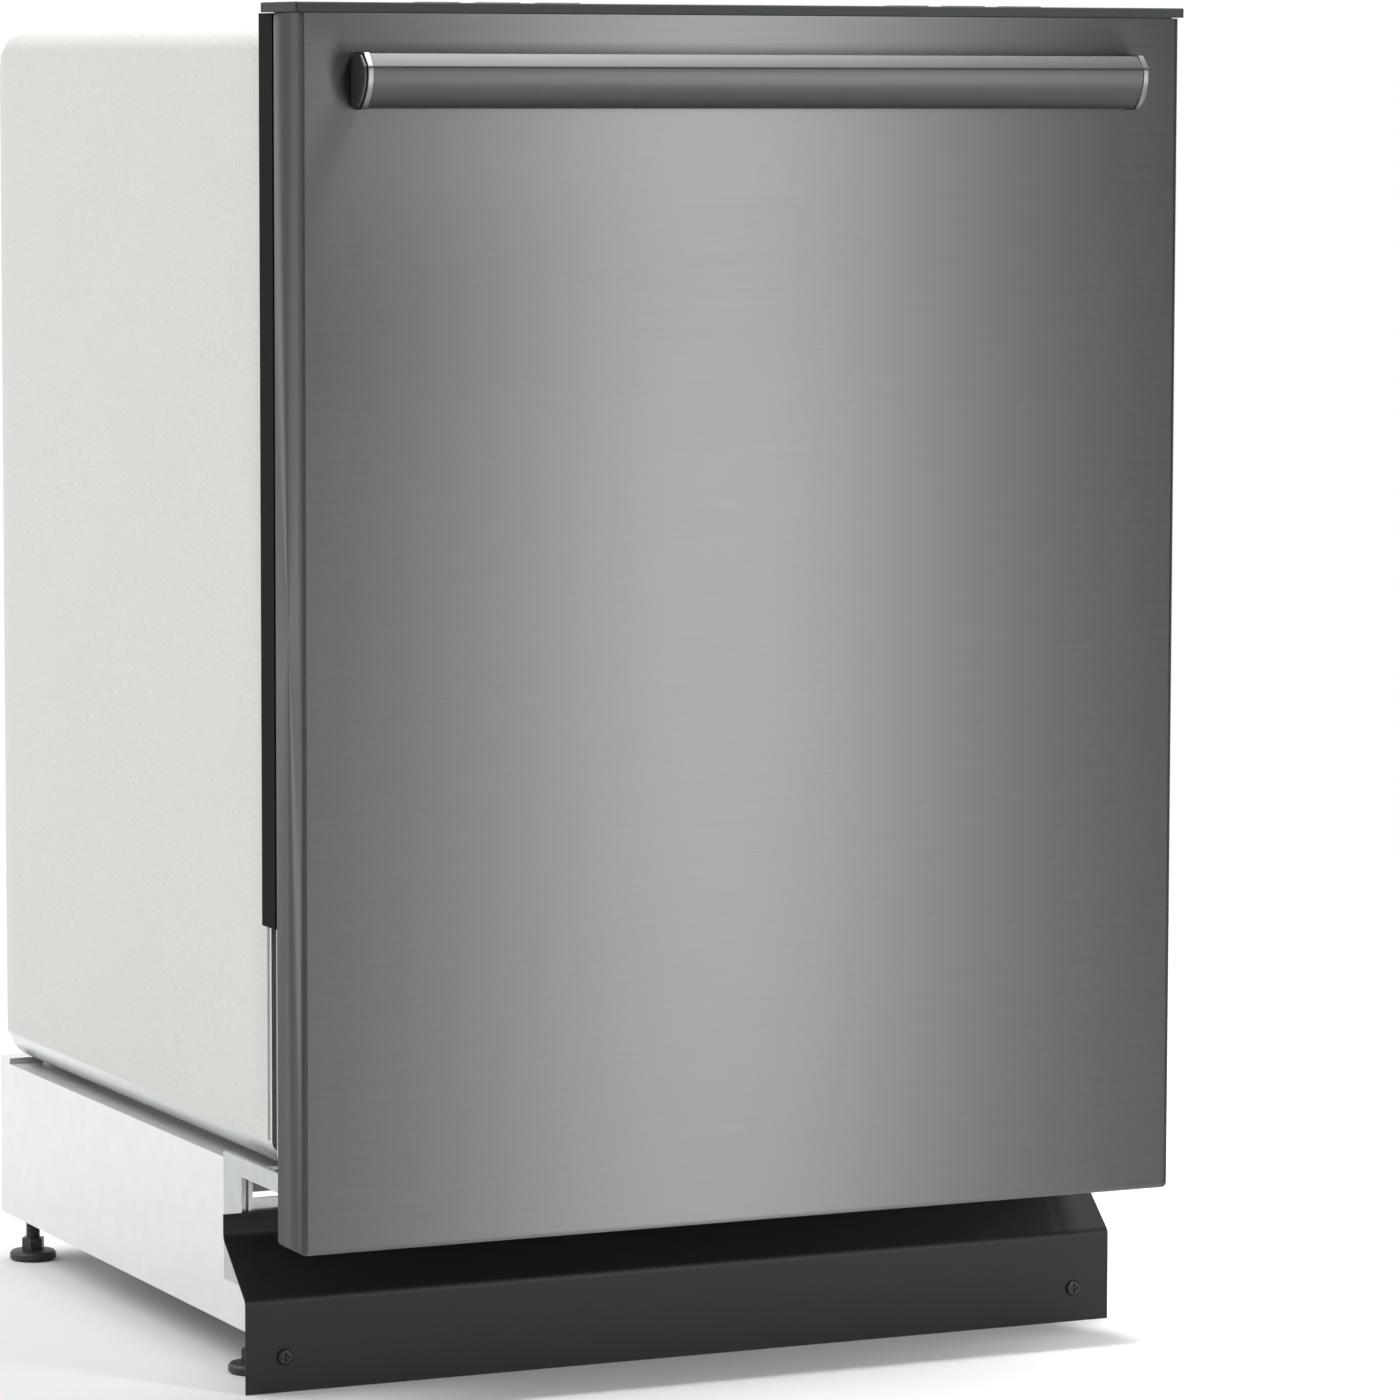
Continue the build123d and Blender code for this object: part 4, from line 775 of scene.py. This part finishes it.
make_handle()
make_toe_kick()
make_blanket()
make_lower_rack()
make_upper_rack()
make_basket()
make_wheels()
make_arm("lower_spray_arm", 6)
make_arm("middle_spray_arm", 5)
make_arm("top_spray_arm", 3)
make_hose()
make_springs()
make_feet()


# ---- stage ---------------------------------------------------------------------------------

def make_floor():
    """Wide pale floor that fades into the surroundings away from the object."""
    material, tree = new_material("studio_floor")
    place = add_node(tree, "ShaderNodeTexCoord")
    away = add_node(tree, "ShaderNodeVectorMath", {0: place.outputs["Object"]}, operation="LENGTH")
    fade = add_node(tree, "ShaderNodeMapRange", {
        "Value": away.outputs["Value"], "From Min": 0.9, "From Max": 2.6, "To Min": 1.0, "To Max": 0.0})
    fade.interpolation_type = "SMOOTHSTEP"
    shader = add_node(tree, "ShaderNodeBsdfPrincipled", {
        "Base Color": colour("#f4f4f4"), "Roughness": 0.9, "Alpha": fade.outputs["Result"]})
    surface(tree, shader)
    mesh = bpy.data.meshes.new("floor")
    size = 6.0
    corners = [(-size, -size, 0), (size, -size, 0), (size, size, 0), (-size, size, 0)]
    mesh.from_pydata(corners, [], [(0, 1, 2, 3)])
    mesh.materials.append(material)
    floor = bpy.data.objects.new("floor", mesh)
    bpy.context.scene.collection.objects.link(floor)


def area_light(name, place, target, size, power):
    """Rectangular soft light at a place, facing a target."""
    data = bpy.data.lights.new(name, "AREA")
    data.shape = "RECTANGLE"
    data.size, data.size_y = size
    data.energy = power
    light = bpy.data.objects.new(name, data)
    light.location = place
    light.rotation_euler = (Vector(target) - Vector(place)).to_track_quat("-Z", "Y").to_euler()
    bpy.context.scene.collection.objects.link(light)
    return light


def make_camera():
    """Long lens a little below the door's top, turned 25 degrees and tipped slightly down."""
    yaw, pitch, roll = math.radians(24.97), math.radians(5.60), math.radians(0.156)
    data = bpy.data.cameras.new("camera")
    data.sensor_width = 36.0
    data.lens = 164.3
    data.clip_end = 100.0
    ahead = Vector((math.sin(yaw) * math.cos(pitch), math.cos(yaw) * math.cos(pitch), -math.sin(pitch)))
    right = Vector((math.cos(yaw), -math.sin(yaw), 0.0))
    up = right.cross(ahead)
    turned_right = right * math.cos(roll) + up * math.sin(roll)
    turned_up = up * math.cos(roll) - right * math.sin(roll)
    camera = bpy.data.objects.new("camera", data)
    door_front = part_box("door_outer_panel")[0].y
    place = Vector((-1.705, door_front - 3.586, 0.821))
    matrix = Matrix((turned_right, turned_up, -ahead)).transposed().to_4x4()
    matrix.translation = place
    camera.matrix_world = matrix
    bpy.context.scene.collection.objects.link(camera)
    bpy.context.scene.camera = camera


def make_world():
    """Pale surroundings that light the object from behind and dimly from the front; seen directly,
    they are white all round."""
    world = bpy.data.worlds.new("studio")
    bpy.context.scene.world = world
    world.use_nodes = True
    tree = world.node_tree
    tree.nodes.clear()
    place = add_node(tree, "ShaderNodeTexCoord")
    parts = add_node(tree, "ShaderNodeSeparateXYZ", {"Vector": place.outputs["Generated"]})
    behind = add_node(tree, "ShaderNodeMapRange", {
        "Value": parts.outputs["Y"], "From Min": -0.35, "From Max": 0.25})
    front = add_node(tree, "ShaderNodeMapRange", {
        "Value": parts.outputs["X"], "From Min": -0.1, "From Max": 0.6, "To Min": 0.42, "To Max": 0.04})
    level = add_node(tree, "ShaderNodeMix", {
        "Factor": behind.outputs["Result"], "A": front.outputs["Result"], "B": 1.0})
    seen = add_node(tree, "ShaderNodeLightPath")
    shown = add_node(tree, "ShaderNodeMix", {
        "Factor": seen.outputs["Is Camera Ray"], "A": level.outputs[0], "B": 1.0})
    back = add_node(tree, "ShaderNodeBackground", {"Color": (1, 1, 1, 1), "Strength": shown.outputs[0]})
    output = tree.nodes.new("ShaderNodeOutputWorld")
    tree.links.new(back.outputs["Background"], output.inputs["Surface"])


make_floor()
make_camera()
make_world()
area_light("strip", (0.71, -1.85, 0.56), (0.04, -0.29, 0.48), (0.22, 1.1), 20.5)
area_light("facet", (0.66, -0.43, 2.83), (-0.14, -0.3, 0.83), (0.3, 0.6), 46.0)
area_light("left_top", (-2.8, 0.9, 3.6), (0, 0, 0.0), (2.5, 2.5), 60.0)
area_light("right_top", (3.0, 2.4, 3.2), (0.6, 0, 0.0), (2.5, 2.5), 60.0)
bpy.context.scene.view_settings.view_transform = "Standard"
